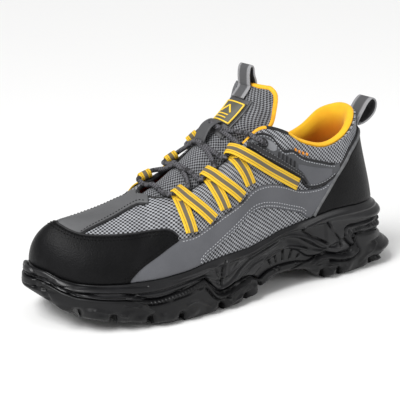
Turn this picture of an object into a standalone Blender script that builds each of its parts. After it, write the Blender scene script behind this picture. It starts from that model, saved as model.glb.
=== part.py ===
"""Safety sneaker for the left foot, standing empty on its sole.

Metres, +X towards the toe, +Y to the outer side, +Z up. The origin is on the floor, under the middle
of the heel tread. Rows of the tables run from the heel back to the toe tip, and row numbers past the
tip come back along the inner side, so that one number q goes once round the shoe.
"""

import math

import bmesh
import bpy
import numpy as np
from mathutils import Matrix, Vector

# Overall sizes
LENGTH = 0.310
HEEL_BACK = 0.051
BALL_HALF = 0.054
LAST_HALF = 0.048
INSTEP = 0.118
BED = 0.040
RIM = 0.052
SPRING = 0.028

# Walls, layers and clearances
GAP = 0.0003
SEAT = 0.0004
WALL = 0.0022
OVERLAY = 0.0015
WEBBING = 0.0010
WEBBING_WIDTH = 0.009
LIP = 0.003
PLATE = 0.0055
STEP = 0.0032
HEEL_KICK = 0.008
INSOLE = 0.004
LINING = 0.006
LINING_ROLL = 0.0035
TONGUE = 0.005
LACE_RADIUS = 0.0017
SLEEVE_RADIUS = 0.0024
GROOVE_WIDTH = 0.004
GROOVE_DEPTH = 0.0038

# Height below the ground at which the cutters of the tread start.
BELOW = -0.01

# Thickness of the collar's tab.
TAB = 0.0009
SLOT_WIDTH = 0.0018
SLOT_DEPTH = 0.0022
EYELET_RADIUS = 0.0024
PULL_WIDTH = 0.016
TONGUE_PULL_WIDTH = 0.0145
PULL_THICKNESS = 0.0013

STATIONS_PER_ROW = 2
THROAT_ROW = 12
STATION_APART = 0.14


def table(names, rows):
    """Columns of a hand-set table, by name."""
    return dict(zip(names.split(), np.array(rows, float).T))


# Sections of the last. Lengths along the shoe are shares of LENGTH from the sole's back, half widths and
# belly of LAST_HALF, rises of INSTEP and bed of BED. wall, reach and drop shape the rib's curve.
LAST = table(
    "foot_x foot_out foot_in top_x top_out top_in rise_out rise_in bed wall belly reach drop",
    (
        (0.056, 0.000, 0.000, 0.098, 0.00, 0.00, 0.996, 0.996, 1.00, 0.28, 0.015, 0.04, 0.34),
        (0.071, 0.365, 0.344, 0.108, 0.25, 0.25, 0.979, 0.983, 1.00, 0.28, 0.005, 0.03, 0.34),
        (0.116, 0.615, 0.583, 0.142, 0.46, 0.45, 0.919, 0.941, 1.00, 0.30, 0.015, 0.14, 0.32),
        (0.187, 0.719, 0.677, 0.190, 0.59, 0.56, 0.860, 0.839, 1.00, 0.32, 0.050, 0.38, 0.30),
        (0.261, 0.729, 0.667, 0.252, 0.65, 0.60, 0.831, 0.792, 0.97, 0.32, 0.073, 0.50, 0.30),
        (0.342, 0.740, 0.625, 0.319, 0.66, 0.61, 0.881, 0.847, 0.94, 0.32, 0.073, 0.50, 0.28),
        (0.419, 0.792, 0.646, 0.374, 0.63, 0.59, 0.970, 0.958, 0.89, 0.31, 0.062, 0.50, 0.24),
        (0.494, 0.875, 0.740, 0.426, 0.54, 0.51, 1.000, 0.992, 0.80, 0.30, 0.052, 0.50, 0.19),
        (0.561, 0.948, 0.833, 0.474, 0.49, 0.46, 0.915, 0.911, 0.72, 0.30, 0.052, 0.52, 0.15),
        (0.626, 0.990, 0.906, 0.535, 0.46, 0.43, 0.792, 0.797, 0.66, 0.31, 0.052, 0.50, 0.12),
        (0.684, 1.000, 0.948, 0.610, 0.45, 0.42, 0.682, 0.703, 0.65, 0.34, 0.042, 0.48, 0.09),
        (0.735, 0.958, 0.958, 0.674, 0.28, 0.27, 0.652, 0.660, 0.66, 0.38, 0.042, 0.48, 0.10),
        (0.781, 0.885, 0.917, 0.706, 0.00, 0.00, 0.656, 0.656, 0.66, 0.42, 0.042, 0.48, 0.12),
        (0.832, 0.750, 0.833, 0.761, 0.00, 0.00, 0.614, 0.614, 0.67, 0.50, 0.062, 0.52, 0.11),
        (0.881, 0.562, 0.688, 0.803, 0.00, 0.00, 0.588, 0.588, 0.70, 0.56, 0.062, 0.56, 0.08),
        (0.919, 0.323, 0.510, 0.835, 0.00, 0.00, 0.578, 0.578, 0.76, 0.60, 0.062, 0.60, 0.04),
        (0.940, 0.083, 0.302, 0.855, 0.00, 0.00, 0.576, 0.576, 0.82, 0.63, 0.062, 0.62, 0.01),
        (0.947, -0.115, 0.115, 0.865, 0.00, 0.00, 0.576, 0.576, 0.85, 0.64, 0.062, 0.62, 0.00),
    ),
)

# Plan of the sole: shares of LENGTH and of BALL_HALF. kick is a share of HEEL_KICK.
PLAN = table(
    "x out in kick",
    (
        (0.029, 0.000, 0.000, 1.0),
        (0.045, 0.389, 0.370, 0.7),
        (0.097, 0.657, 0.620, 0.2),
        (0.181, 0.759, 0.713, 0.0),
        (0.265, 0.759, 0.694, 0.0),
        (0.348, 0.759, 0.648, 0.0),
        (0.429, 0.806, 0.667, 0.0),
        (0.503, 0.889, 0.759, 0.0),
        (0.571, 0.954, 0.852, 0.0),
        (0.635, 1.000, 0.907, 0.0),
        (0.694, 1.009, 0.944, 0.0),
        (0.748, 0.981, 0.954, 0.0),
        (0.797, 0.917, 0.917, 0.0),
        (0.848, 0.824, 0.889, 0.0),
        (0.900, 0.640, 0.760, 0.0),
        (0.938, 0.410, 0.575, 0.0),
        (0.963, 0.110, 0.335, 0.0),
        (0.975, -0.130, 0.130, 0.0),
    ),
)

# Lines along the sole's side, by share of LENGTH. ground is a share of SPRING. The other heights are
# shares of RIM: the tread's upper edge, the arch line, the wave, the ridge under the rim, and the rim.
# The last three are each line's step, as a share of STEP.
SIDE = table(
    "x ground tread arch wave ridge rim arch_step wave_step ridge_step",
    (
        (0.029, 0.11, 0.42, 0.52, 0.63, 0.73, 0.96, 0.3, 0.5, 0.8),
        (0.116, 0.00, 0.56, 0.62, 0.67, 0.77, 0.98, 0.3, 0.5, 0.8),
        (0.168, 0.00, 0.58, 0.62, 0.69, 0.81, 0.99, 0.3, 0.5, 0.8),
        (0.187, 0.00, 0.35, 0.42, 0.63, 0.83, 1.00, 0.3, 1.0, 0.7),
        (0.232, 0.00, 0.34, 0.38, 0.52, 0.85, 1.00, 0.3, 1.0, 0.6),
        (0.258, 0.00, 0.38, 0.41, 0.48, 0.85, 0.99, 0.4, 1.0, 0.5),
        (0.287, 0.14, 0.38, 0.41, 0.52, 0.83, 0.97, 0.6, 1.0, 0.5),
        (0.316, 0.36, 0.32, 0.42, 0.62, 0.82, 0.94, 1.0, 1.0, 0.5),
        (0.345, 0.43, 0.36, 0.54, 0.73, 0.84, 0.92, 1.0, 1.0, 0.5),
        (0.377, 0.46, 0.37, 0.62, 0.78, 0.84, 0.89, 1.0, 1.0, 0.5),
        (0.410, 0.46, 0.37, 0.62, 0.76, 0.81, 0.87, 1.0, 1.0, 0.5),
        (0.442, 0.39, 0.34, 0.58, 0.71, 0.76, 0.82, 1.0, 1.0, 0.5),
        (0.468, 0.21, 0.27, 0.45, 0.68, 0.73, 0.79, 0.8, 1.0, 0.5),
        (0.487, 0.11, 0.34, 0.38, 0.66, 0.70, 0.77, 0.5, 1.0, 0.5),
        (0.506, 0.04, 0.38, 0.41, 0.64, 0.69, 0.75, 0.4, 1.0, 0.5),
        (0.535, 0.00, 0.35, 0.39, 0.56, 0.67, 0.75, 0.4, 1.0, 0.6),
        (0.568, 0.00, 0.29, 0.34, 0.48, 0.66, 0.75, 0.4, 0.8, 0.8),
        (0.594, 0.00, 0.28, 0.34, 0.46, 0.64, 0.74, 0.4, 0.6, 0.9),
        (0.619, 0.00, 0.44, 0.46, 0.52, 0.62, 0.72, 0.3, 0.3, 1.0),
        (0.635, 0.00, 0.53, 0.54, 0.56, 0.60, 0.71, 0.2, 0.2, 1.0),
        (0.681, 0.00, 0.45, 0.47, 0.52, 0.57, 0.66, 0.2, 0.2, 1.0),
        (0.742, 0.04, 0.39, 0.42, 0.46, 0.52, 0.62, 0.2, 0.2, 1.0),
        (0.771, 0.09, 0.39, 0.42, 0.46, 0.51, 0.61, 0.2, 0.2, 1.0),
        (0.826, 0.19, 0.42, 0.44, 0.47, 0.51, 0.60, 0.2, 0.2, 1.0),
        (0.871, 0.26, 0.44, 0.46, 0.48, 0.52, 0.60, 0.2, 0.2, 1.0),
        (0.915, 0.36, 0.48, 0.50, 0.52, 0.55, 0.62, 0.2, 0.2, 1.0),
        (0.938, 0.50, 0.54, 0.56, 0.58, 0.61, 0.66, 0.2, 0.2, 0.8),
        (0.958, 0.68, 0.62, 0.64, 0.66, 0.69, 0.73, 0.2, 0.2, 0.4),
        (0.975, 0.83, 0.64, 0.66, 0.68, 0.71, 0.75, 0.2, 0.2, 0.3),
    ),
)

# The tongue's outer face: centre line and edge line, x as shares of LENGTH, heights of INSTEP, width of
# LAST_HALF. The section between them is a parabola. Places on the tongue are given by row number.
TONGUE_ROWS = table(
    "mid_x mid_z edge_x edge_z half",
    (
        (0.716, 0.610, 0.706, 0.545, 0.28),
        (0.665, 0.665, 0.655, 0.555, 0.42),
        (0.613, 0.740, 0.603, 0.600, 0.50),
        (0.561, 0.840, 0.545, 0.680, 0.52),
        (0.518, 0.935, 0.496, 0.780, 0.50),
        (0.490, 1.015, 0.442, 0.885, 0.46),
        (0.458, 1.085, 0.396, 0.995, 0.49),
        (0.430, 1.148, 0.390, 1.095, 0.54),
        (0.412, 1.205, 0.389, 1.180, 0.55),
        (0.406, 1.228, 0.392, 1.222, 0.48),
    ),
)

# Edges of the overlays: row number, then lower and upper edge as shares of the rib. A lower edge of 0
# stands on the sole's rim.
TOE_CAP = table(
    "q low high",
    (
        (10.28, 0.435, 0.475),
        (10.60, 0.390, 0.545),
        (11.10, 0.315, 0.560),
        (12.00, 0.185, 0.525),
        (12.85, 0.000, 0.548),
        (13.80, 0.000, 0.580),
        (14.50, 0.000, 0.605),
        (15.10, 0.000, 0.650),
        (15.90, 0.000, 0.710),
        (17.00, 0.000, 0.770),
    ),
)
SIDE_PANEL = table(
    "q low high",
    (
        (3.62, 0.590, 0.606),
        (3.85, 0.500, 0.575),
        (4.15, 0.385, 0.525),
        (4.58, 0.185, 0.500),
        (4.98, 0.255, 0.490),
        (5.60, 0.300, 0.510),
        (6.18, 0.335, 0.520),
        (6.62, 0.350, 0.515),
        (7.05, 0.345, 0.500),
        (7.58, 0.305, 0.460),
        (8.25, 0.260, 0.450),
        (8.78, 0.220, 0.445),
        (9.20, 0.175, 0.435),
        (9.60, 0.000, 0.430),
        (10.15, 0.000, 0.440),
        (10.35, 0.000, 0.400),
        (11.05, 0.000, 0.300),
        (11.80, 0.000, 0.185),
        (12.15, 0.000, 0.125),
    ),
)
COUNTER = table(
    "q low high",
    (
        (0.00, 0.000, 0.800),
        (0.80, 0.000, 0.810),
        (1.60, 0.000, 0.820),
        (2.55, 0.000, 0.795),
        (3.08, 0.000, 0.700),
        (3.60, 0.000, 0.575),
        (4.15, 0.000, 0.355),
        (4.45, 0.000, 0.190),
    ),
)
QUARTER = table(
    "q low high",
    (
        (3.35, 0.665, 0.735),
        (3.80, 0.610, 0.765),
        (4.20, 0.560, 0.800),
        (4.70, 0.545, 0.820),
        (4.85, 0.640, 0.820),
        (5.10, 0.675, 0.820),
        (5.60, 0.705, 0.830),
        (6.00, 0.725, 0.800),
        (6.20, 0.735, 0.860),
        (6.50, 0.750, 0.905),
        (6.95, 0.790, 0.925),
        (7.30, 0.860, 0.935),
        (7.60, 0.905, 0.940),
    ),
)
VAMP_STRIP = table(
    "q low",
    (
        (12.15, 0.850),
        (12.60, 0.825),
        (13.20, 0.785),
        (13.80, 0.735),
        (14.50, 0.680),
        (15.20, 0.740),
    ),
)

# Webbing loops: row number and rib share of the first leg's foot, of the top, and of the second foot.
LOOPS = (
    ((9.76, 0.470), 10.35, (8.88, 0.475)),
    ((8.36, 0.490), 9.30, (7.66, 0.500)),
    ((7.20, 0.545), 8.35, (5.15, 0.560)),
)
# The lace: row of the tongue under its first bar, then under each crossing, with the change towards each
# side. It lies on the tongue as far out as CROSSING_REACH, as a share of the tongue's half width.
FIRST_BAR = 1.16
CROSSINGS = ((2.37, 0.11), (3.55, 0.08), (4.75, 0.08))
CROSSING_REACH = 0.45
LOOP_TOP = 0.965
BADGE = (5.10, 6.70, 0.42)
KEEPER = (3.95, 4.40, 0.16)
TOP_EYELET = (6.85, 0.835)
LACE_OVER_EDGE = (7.70, 7.30, 0.905)
COLLAR_TAB = (4.75, 5.45, 0.855, 0.915)
COLLAR_END = 5.9

# Pull loops along the shoe's middle: share of LENGTH, share of INSTEP. The tongue's own loop is sewn to
# both of its faces from row PULL_HOLD of the tongue's table up.
PULL_HOLD = 7.0
TONGUE_PULL = (
    (0.4165, 1.235),
    (0.4175, 1.290),
    (0.4150, 1.333),
    (0.4080, 1.350),
    (0.4010, 1.333),
    (0.3985, 1.290),
    (0.3930, 1.245),
)
HEEL_PULL = (
    (0.0924, 0.885),
    (0.0822, 0.930),
    (0.0710, 0.975),
    (0.0580, 1.021),
    (0.0435, 1.046),
    (0.0306, 1.030),
    (0.0265, 0.992),
    (0.0323, 0.945),
    (0.0478, 0.907),
    (0.0660, 0.884),
    (0.0826, 0.876),
)

# Grooves across the tread: share of LENGTH, share of GROOVE_WIDTH, and lean of the V.
GROOVES = table(
    "x width lean",
    (
        (0.070, 1.0, -0.15),
        (0.120, 1.0, -0.15),
        (0.215, 1.0, 0.15),
        (0.262, 1.0, 0.15),
        (0.480, 1.0, -0.20),
        (0.525, 1.0, -0.20),
        (0.601, 1.6, -0.20),
        (0.680, 1.0, 0.20),
        (0.755, 1.0, 0.20),
        (0.832, 1.0, 0.25),
        (0.903, 1.0, 0.25),
    ),
)

CENTRE_GROOVE = (0.470, 0.915)

TIP = len(LAST["foot_x"]) - 1
TONGUE_TOP = len(TONGUE_ROWS["half"]) - 1
RING = 2 * TIP
STATIONS = (np.arange(RING * STATIONS_PER_ROW) + 0.5) / STATIONS_PER_ROW
RIB_LEVELS = np.array((0.0, 0.10, 0.21, 0.33, 0.46, 0.59, 0.71, 0.82, 0.92, 1.0))

# Materials: base colour, roughness, metallic
FINISHES = {
    "rubber": ((0.018, 0.018, 0.019), 0.62, 0.0),
    "foam": ((0.022, 0.022, 0.023), 0.70, 0.0),
    "mesh": ((0.26, 0.26, 0.27), 0.85, 0.0),
    "cap": ((0.013, 0.013, 0.014), 0.50, 0.0),
    "synthetic": ((0.085, 0.085, 0.090), 0.60, 0.0),
    "yellow": ((0.90, 0.52, 0.02), 0.75, 0.0),
    "lining": ((0.86, 0.40, 0.01), 0.85, 0.0),
    "webbing": ((0.10, 0.10, 0.105), 0.80, 0.0),
}

parts = bpy.data.collections.new("safety_sneaker")
cutters = bpy.data.collections.new("cutters")
materials = {}


def station_x(share):
    """Place along the shoe of a share of its length."""
    return share * LENGTH - HEEL_BACK


def station_share(x):
    """Share of the shoe's length at a place along it."""
    return (x + HEEL_BACK) / LENGTH


def round_loop(outer, inner, q):
    """Catmull-Rom curve at q through row values that run out along one side and back along the other."""
    values = np.concatenate([outer, inner[-2:0:-1]])
    count = len(values)
    q = np.asarray(q, float) % count
    first = np.floor(q).astype(int)
    t = q - first
    a, b, c, d = (values[(first + k) % count] for k in (-1, 0, 1, 2))
    return b + 0.5 * t * (c - a + t * (2 * a - 5 * b + 4 * c - d + t * (3 * (b - c) + d - a)))


def last_value(name, q):
    """One column of the last's table, the same on both sides."""
    return round_loop(LAST[name], LAST[name], q)


def row_number(q):
    """Row of the tables that q stands on, on either side."""
    return np.abs((np.asarray(q, float) + TIP) % RING - TIP)


def rib(q, v):
    """Point on the last's outside: station q round the foot, share v from the feather line to the top."""
    q, v = np.broadcast_arrays(np.asarray(q, float), np.asarray(v, float))
    foot_x = station_x(last_value("foot_x", q))
    foot_y = round_loop(LAST["foot_out"], -LAST["foot_in"], q) * LAST_HALF
    foot_z = last_value("bed", q) * BED
    top_x = station_x(last_value("top_x", q))
    top_y = round_loop(LAST["top_out"], -LAST["top_in"], q) * LAST_HALF
    top_y = np.where(row_number(q) >= THROAT_ROW, 0.0, top_y)
    top_z = round_loop(LAST["rise_out"], LAST["rise_in"], q) * INSTEP
    rise = top_z - foot_z
    ahead, behind = q + 0.001, q - 0.001
    run_x = last_value("foot_x", ahead) * LENGTH - last_value("foot_x", behind) * LENGTH
    run_y = round_loop(LAST["foot_out"], -LAST["foot_in"], ahead) * LAST_HALF
    run_y = run_y - round_loop(LAST["foot_out"], -LAST["foot_in"], behind) * LAST_HALF
    run = np.hypot(run_x, run_y)
    belly = last_value("belly", q) * LAST_HALF
    reach = last_value("reach", q)
    foot = np.stack([foot_x, foot_y, foot_z], -1)
    low = np.stack(
        [foot_x - run_y / run * belly, foot_y + run_x / run * belly, foot_z + last_value("wall", q) * rise],
        -1,
    )
    high = np.stack(
        [
            top_x + (foot_x - top_x) * reach,
            top_y + (foot_y - top_y) * reach,
            top_z - last_value("drop", q) * rise,
        ],
        -1,
    )
    top = np.stack([top_x, top_y, top_z], -1)
    v = v[..., None]
    u = 1 - v
    return u**3 * foot + 3 * u**2 * v * low + 3 * u * v**2 * high + v**3 * top


def skin(q, v, out=0.0):
    """Point at the distance out from the last's outside."""
    q, v = np.broadcast_arrays(np.asarray(q, float), np.asarray(v, float))
    inside = np.clip(v, 0.001, 0.97)
    along = rib(q + 0.002, inside) - rib(q - 0.002, inside)
    up = rib(q, inside + 0.001) - rib(q, inside - 0.001)
    normal = np.cross(up, along)
    normal /= np.linalg.norm(normal, axis=-1, keepdims=True)
    return rib(q, v) + np.asarray(out, float)[..., None] * normal


def share_at_height(q, z):
    """Share of the rib at which it reaches the height z."""
    low, high = np.zeros_like(q), np.full_like(q, 0.9)
    for _ in range(30):
        middle = (low + high) / 2
        above = rib(q, middle)[..., 2] > z
        low, high = np.where(above, low, middle), np.where(above, middle, high)
    return (low + high) / 2


def side_value(name, q):
    """One line of the sole's side at q."""
    return np.interp(round_loop(PLAN["x"], PLAN["x"], q), SIDE["x"], SIDE[name])


def sole_point(q, z, out):
    """Point beside the sole's plan curve, at the distance out from it and the height z."""
    q = np.asarray(q, float)

    def plan(at):
        x = station_x(round_loop(PLAN["x"], PLAN["x"], at))
        y = round_loop(PLAN["out"], -PLAN["in"], at) * BALL_HALF
        return np.stack([x, y], -1)

    run = plan(q + 0.01) - plan(q - 0.01)
    run /= np.linalg.norm(run, axis=-1, keepdims=True)
    out = np.broadcast_to(np.asarray(out, float), q.shape)[..., None]
    place = plan(q) + out * np.stack([-run[..., 1], run[..., 0]], -1)
    return np.concatenate([place, np.broadcast_to(z, q.shape)[..., None]], -1)


def tongue_point(row, t, out=0.0):
    """Point of the tongue's outer face: row from its hidden end up, t across it from -1 to 1."""
    row, t = np.broadcast_arrays(np.asarray(row, float), np.asarray(t, float))

    def face(at, t):
        mid_x, mid_z, edge_x, edge_z, half = (
            np.interp(at, np.arange(TONGUE_TOP + 1), TONGUE_ROWS[name]) for name in TONGUE_ROWS
        )
        bend = t**2
        x = station_x(mid_x + (edge_x - mid_x) * bend)
        return np.stack([x, t * half * LAST_HALF, (mid_z + (edge_z - mid_z) * bend) * INSTEP], -1)

    inner = np.clip(row, 0.2, TONGUE_TOP - 0.2)
    up = face(inner + 0.2, t) - face(inner - 0.2, t)
    across = face(row, t + 0.01) - face(row, t - 0.01)
    normal = np.cross(across, up)
    normal /= np.linalg.norm(normal, axis=-1, keepdims=True)
    return face(row, t) + np.asarray(out, float)[..., None] * normal


def material(name):
    """Principled material of a named finish."""
    if name not in materials:
        colour, roughness, metallic = FINISHES[name]
        made = bpy.data.materials.new(name)
        made.use_nodes = True
        shader = made.node_tree.nodes["Principled BSDF"]
        shader.inputs["Base Color"].default_value = (*colour, 1.0)
        shader.inputs["Roughness"].default_value = roughness
        shader.inputs["Metallic"].default_value = metallic
        materials[name] = made
    return materials[name]


def add_object(name, points, faces, finish, collection=parts):
    """Mesh object of these points and faces, with doubles merged and faces turned outwards."""
    mesh = bpy.data.meshes.new(name)
    mesh.from_pydata([tuple(p) for p in np.reshape(points, (-1, 3)).tolist()], [], faces)
    shape = bmesh.new()
    shape.from_mesh(mesh)
    bmesh.ops.remove_doubles(shape, verts=shape.verts, dist=0.00002)
    bmesh.ops.recalc_face_normals(shape, faces=shape.faces)
    if all(edge.is_manifold for edge in shape.edges) and shape.calc_volume(signed=True) < 0:
        bmesh.ops.reverse_faces(shape, faces=shape.faces)
    shape.to_mesh(mesh)
    shape.free()
    mesh.shade_smooth()
    mesh.set_sharp_from_angle(angle=math.radians(40))
    made = bpy.data.objects.new(name, mesh)
    made.data.materials.append(material(finish))
    collection.objects.link(made)
    return made


def grid_faces(rows, columns, round_rows=False, round_columns=False):
    """Quads of a grid of points, joined end to end where asked."""
    return [
        (
            i * columns + j,
            i * columns + (j + 1) % columns,
            (i + 1) % rows * columns + (j + 1) % columns,
            (i + 1) % rows * columns + j,
        )
        for i in range(rows if round_rows else rows - 1)
        for j in range(columns if round_columns else columns - 1)
    ]


def add_shell(name, points, thickness, finish):
    """Open surface with its wall on the inner side."""
    rows, columns = points.shape[:2]
    made = add_object(name, points, grid_faces(rows, columns), finish)
    outward = made.data.polygons[0].normal
    wanted = np.cross(points[0, 1] - points[0, 0], points[1, 1] - points[0, 1])
    if outward.dot(Vector(wanted)) < 0:
        made.data.flip_normals()
    wall = made.modifiers.new("wall", "SOLIDIFY")
    wall.thickness = thickness
    wall.offset = -1
    wall.use_even_offset = True
    return made


def add_sweep(name, sections, finish, collection=parts, caps=True):
    """Closed sections, one for each step of a path, capped unless they end in a point or a line."""
    rows, columns = sections.shape[:2]
    faces = grid_faces(rows, columns, round_columns=True)
    if caps:
        faces += [tuple(range(columns)), tuple((rows - 1) * columns + j for j in range(columns))]
    return add_object(name, sections, faces, finish, collection)


def add_ringed(name, rings, finish):
    """Solid of rings of stations, closed below and above by strips from side to side."""
    stations, levels = rings.shape[:2]
    faces = grid_faces(stations, levels, round_rows=True)
    for level in (0, levels - 1):
        for i in range(stations // 2 - 1):
            strip = (i, i + 1, stations - i - 2, stations - i - 1)
            faces.append(tuple(k * levels + level for k in strip))
    return add_object(name, rings, faces, finish)


def boolean(target, other, operation):
    """Exact Boolean of the target with another object, which becomes a cutter."""
    cut = target.modifiers.new(other.name, "BOOLEAN")
    cut.operation = operation
    cut.solver = "EXACT"
    cut.object = other
    other.hide_render = True
    other.display_type = "WIRE"


def across(lateral_q):
    """The station on the inner side that faces one on the outer side."""
    return RING - np.asarray(lateral_q, float)


def add_outsole():
    """Tread plate with its lip up the midsole's side, and grooves between the lugs."""
    q = STATIONS
    ground = side_value("ground", q) * SPRING
    tread = side_value("tread", q) * RIM
    plate = ground + PLATE
    lip = np.maximum(tread, plate + GAP)
    kick = round_loop(PLAN["kick"], PLAN["kick"], q) * HEEL_KICK
    height = lip - ground
    levels = (
        (ground, -LIP * 1.6),
        (ground + 0.10 * height, -LIP * 0.5 + kick * 0.7),
        (ground + 0.45 * height, LIP * 0.15 + kick),
        (ground + 0.75 * height, kick * 0.4),
        (lip, -LIP * 0.1),
        (lip, np.full_like(q, -LIP)),
        (plate, np.full_like(q, -LIP)),
    )
    rings = np.stack([sole_point(q, z, out) for z, out in levels], 1)
    outsole = add_ringed("outsole", rings, "rubber")
    for number, (x, width, lean) in enumerate(zip(*GROOVES.values())):
        boolean(outsole, add_groove(number, station_x(x), width * GROOVE_WIDTH, lean), "DIFFERENCE")
    boolean(outsole, add_centre_groove(), "DIFFERENCE")


def ground_at(x):
    """Height of the tread at a place along the shoe."""
    return np.interp(station_share(x), SIDE["x"], SIDE["ground"]) * SPRING


def add_groove(number, x, width, lean):
    """Cutter for one groove across the tread, bent to a V."""
    reach = 1.3 * BALL_HALF
    sections = []
    for y in (-reach, 0.0, reach):
        middle = x + lean * abs(y)
        top = ground_at(x) + GROOVE_DEPTH
        half = width / 2
        low, high = middle - half, middle + half
        sections.append([(low, y, BELOW), (high, y, BELOW), (high, y, top), (low, y, top)])
    return add_sweep(f"groove_{number}", np.array(sections), "rubber", cutters)


def add_centre_groove():
    """Cutter for the groove along the middle of the forefoot."""
    sections = []
    for x in station_x(np.linspace(*CENTRE_GROOVE, 7)):
        half = GROOVE_WIDTH / 2
        top = ground_at(x) + GROOVE_DEPTH * 0.9
        sections.append([(x, -half, BELOW), (x, half, BELOW), (x, half, top), (x, -half, top)])
    return add_sweep("groove_centre", np.array(sections), "rubber", cutters)


def add_midsole():
    """Foam cup: it sits in the outsole's lip, steps out over it, and holds the upper's foot."""
    q = STATIONS
    ground = side_value("ground", q) * SPRING
    tread = side_value("tread", q) * RIM
    plate = ground + PLATE
    lip = np.maximum(tread, plate + GAP)
    arch, wave, ridge, rim = (side_value(n, q) * RIM for n in ("arch", "wave", "ridge", "rim"))
    arch_step, wave_step, ridge_step = (side_value(n + "_step", q) * STEP for n in ("arch", "wave", "ridge"))
    kick = round_loop(PLAN["kick"], PLAN["kick"], q) * HEEL_KICK * 0.3
    tuck = -LIP - SEAT
    under = 0.0015
    levels = (
        (plate + GAP, tuck),
        (lip + GAP, tuck),
        (lip + GAP, -0.0012 - 0.6 * arch_step),
        (np.maximum(arch - under, lip + 0.0006), -0.0008 - arch_step),
        (np.maximum(arch, lip + 0.0012), kick - 0.0004),
        (np.maximum(wave - under, arch + 0.0008), -0.0008 - wave_step),
        (np.maximum(wave, arch + 0.0014), kick - 0.0002),
        (np.maximum(ridge - under, wave + 0.0006), -0.0010 - ridge_step * 0.6),
        (np.maximum(ridge, wave + 0.0012), kick - 0.0006),
    )
    rings = [sole_point(q, z, out) for z, out in levels]
    share = share_at_height(q, rim)
    inner = skin(q, share, SEAT)
    away = inner - skin(q, share, 0.0)
    away[:, 2] = 0
    away /= np.linalg.norm(away, axis=-1, keepdims=True)
    rings.append(inner + away * LIP * 0.9 - np.array((0, 0, 0.0012)))
    rings.append(inner + away * LIP * 0.3)
    rings.append(inner)
    for part in (0.66, 0.33, 0.0):
        rings.append(skin(q, share * part, SEAT))
    rings[-1][:, 2] = last_value("bed", q) * BED - GAP
    midsole = add_ringed("midsole", np.stack(rings, 1), "foam")
    add_arch_slots(midsole)


def add_arch_slots(midsole):
    """Slots that fan out under the arch line on both sides, between ribs."""
    for side in (1, -1):
        for number, row in enumerate(np.linspace(4.75, 6.15, 7)):
            q = row if side > 0 else across(row)
            q = np.array([q])
            low = side_value("tread", q)[0] * RIM + 0.0020
            high = side_value("arch", q)[0] * RIM - 0.0026
            if high - low < 2 * SLOT_WIDTH:
                continue
            middle = sole_point(q, (low + high) / 2, -0.001)[0]
            outward = sole_point(q, (low + high) / 2, 0.0)[0] - middle
            outward /= np.linalg.norm(outward)
            lean = math.radians(14 * (number - 3))
            tilt = side * math.sin(lean)
            up = Vector((tilt * outward[1], -tilt * outward[0], math.cos(lean)))
            along = Vector(outward).cross(up)
            frame = Matrix((along, Vector(outward), up)).transposed().to_4x4()
            size = Matrix.Diagonal((SLOT_WIDTH, 2 * (SLOT_DEPTH + 0.0025), high - low, 1))
            shape = bmesh.new()
            bmesh.ops.create_cube(shape, size=1.0, matrix=Matrix.Translation(middle) @ frame @ size)
            mesh = bpy.data.meshes.new("arch_slot")
            shape.to_mesh(mesh)
            shape.free()
            slot = bpy.data.objects.new(f"arch_slot_{side}_{number}", mesh)
            cutters.objects.link(slot)
            boolean(midsole, slot, "DIFFERENCE")


def add_insole():
    """Footbed pad inside the upper, cupped at its edges."""
    rows = np.arange(TIP + 1.0)
    bed = last_value("bed", rows) * BED
    inset = -(WALL + SEAT + 0.0004)
    spread = np.array((1.0, 0.8, 0.3, -0.3, -0.8, -1.0))
    faces = []
    for level, height in ((0.0, GAP * 0.5), (1.0, INSOLE)):
        share = share_at_height(rows, bed + height)
        other = across(rows)
        outer, inner = skin(rows, share, inset), skin(other, share_at_height(other, bed + height), inset)
        middle = (outer + inner) / 2
        grid = middle[:, None] + (outer - inner)[:, None] / 2 * spread[None, :, None]
        dish = level * 0.0012 * (1 - spread**2)
        grid[..., 2] = (bed + height)[:, None] - dish[None, :]
        faces.append(grid)
    bottom, top = faces
    add_sweep("insole", np.concatenate([bottom, top[:, ::-1]], 1), "lining", caps=False)


def add_upper():
    """Hollow upper, open at the collar and throat and underneath, zipped along the toe's ridge."""
    grid = rib(STATIONS[:, None], RIB_LEVELS[None, :])
    rows, columns = grid.shape[:2]
    upper = add_object("upper", grid, grid_faces(rows, columns, round_rows=True), "mesh")
    wall = upper.modifiers.new("wall", "SOLIDIFY")
    wall.thickness = WALL
    wall.offset = -1
    wall.use_even_offset = True
    return upper


def patch_grid(edges, rows, levels, out, side=1):
    """Points between an overlay's two edges, at the distance out from the upper."""
    q = np.asarray(rows, float)
    number = row_number(q)
    low = np.interp(number, edges["q"], edges["low"])
    high = np.interp(number, edges["q"], edges["high"])
    if side < 0:
        q = across(q)
    rim = share_at_height(q, side_value("rim", q) * RIM + SEAT)
    low = np.maximum(low, rim + 0.008)
    high = np.maximum(high, low + 0.02)
    share = low[:, None] + (high - low)[:, None] * np.linspace(0, 1, levels)[None, :]
    grid = skin(q[:, None], share, np.full(share.shape, out))
    return grid if side > 0 else grid[::-1]


def stations_with(rows):
    """Hand-set rows, with the upper's own stations between them."""
    own = np.concatenate([STATIONS - RING, STATIONS])
    own = own[(own > rows[0]) & (own < rows[-1])]
    apart = np.abs(own[:, None] - rows[None, :]).min(axis=1)
    return np.union1d(rows, own[apart > STATION_APART])


def add_overlay(name, edges, levels, finish, side=1, both_sides_of=None):
    """Overlay of the upper on one side, or round the heel or toe."""
    rows = edges["q"]
    if both_sides_of is not None:
        rows = np.union1d(rows, 2 * both_sides_of - rows)
    grid = patch_grid(edges, stations_with(rows), levels, SEAT + OVERLAY, side)
    return add_shell(name, grid, OVERLAY, finish)


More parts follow.
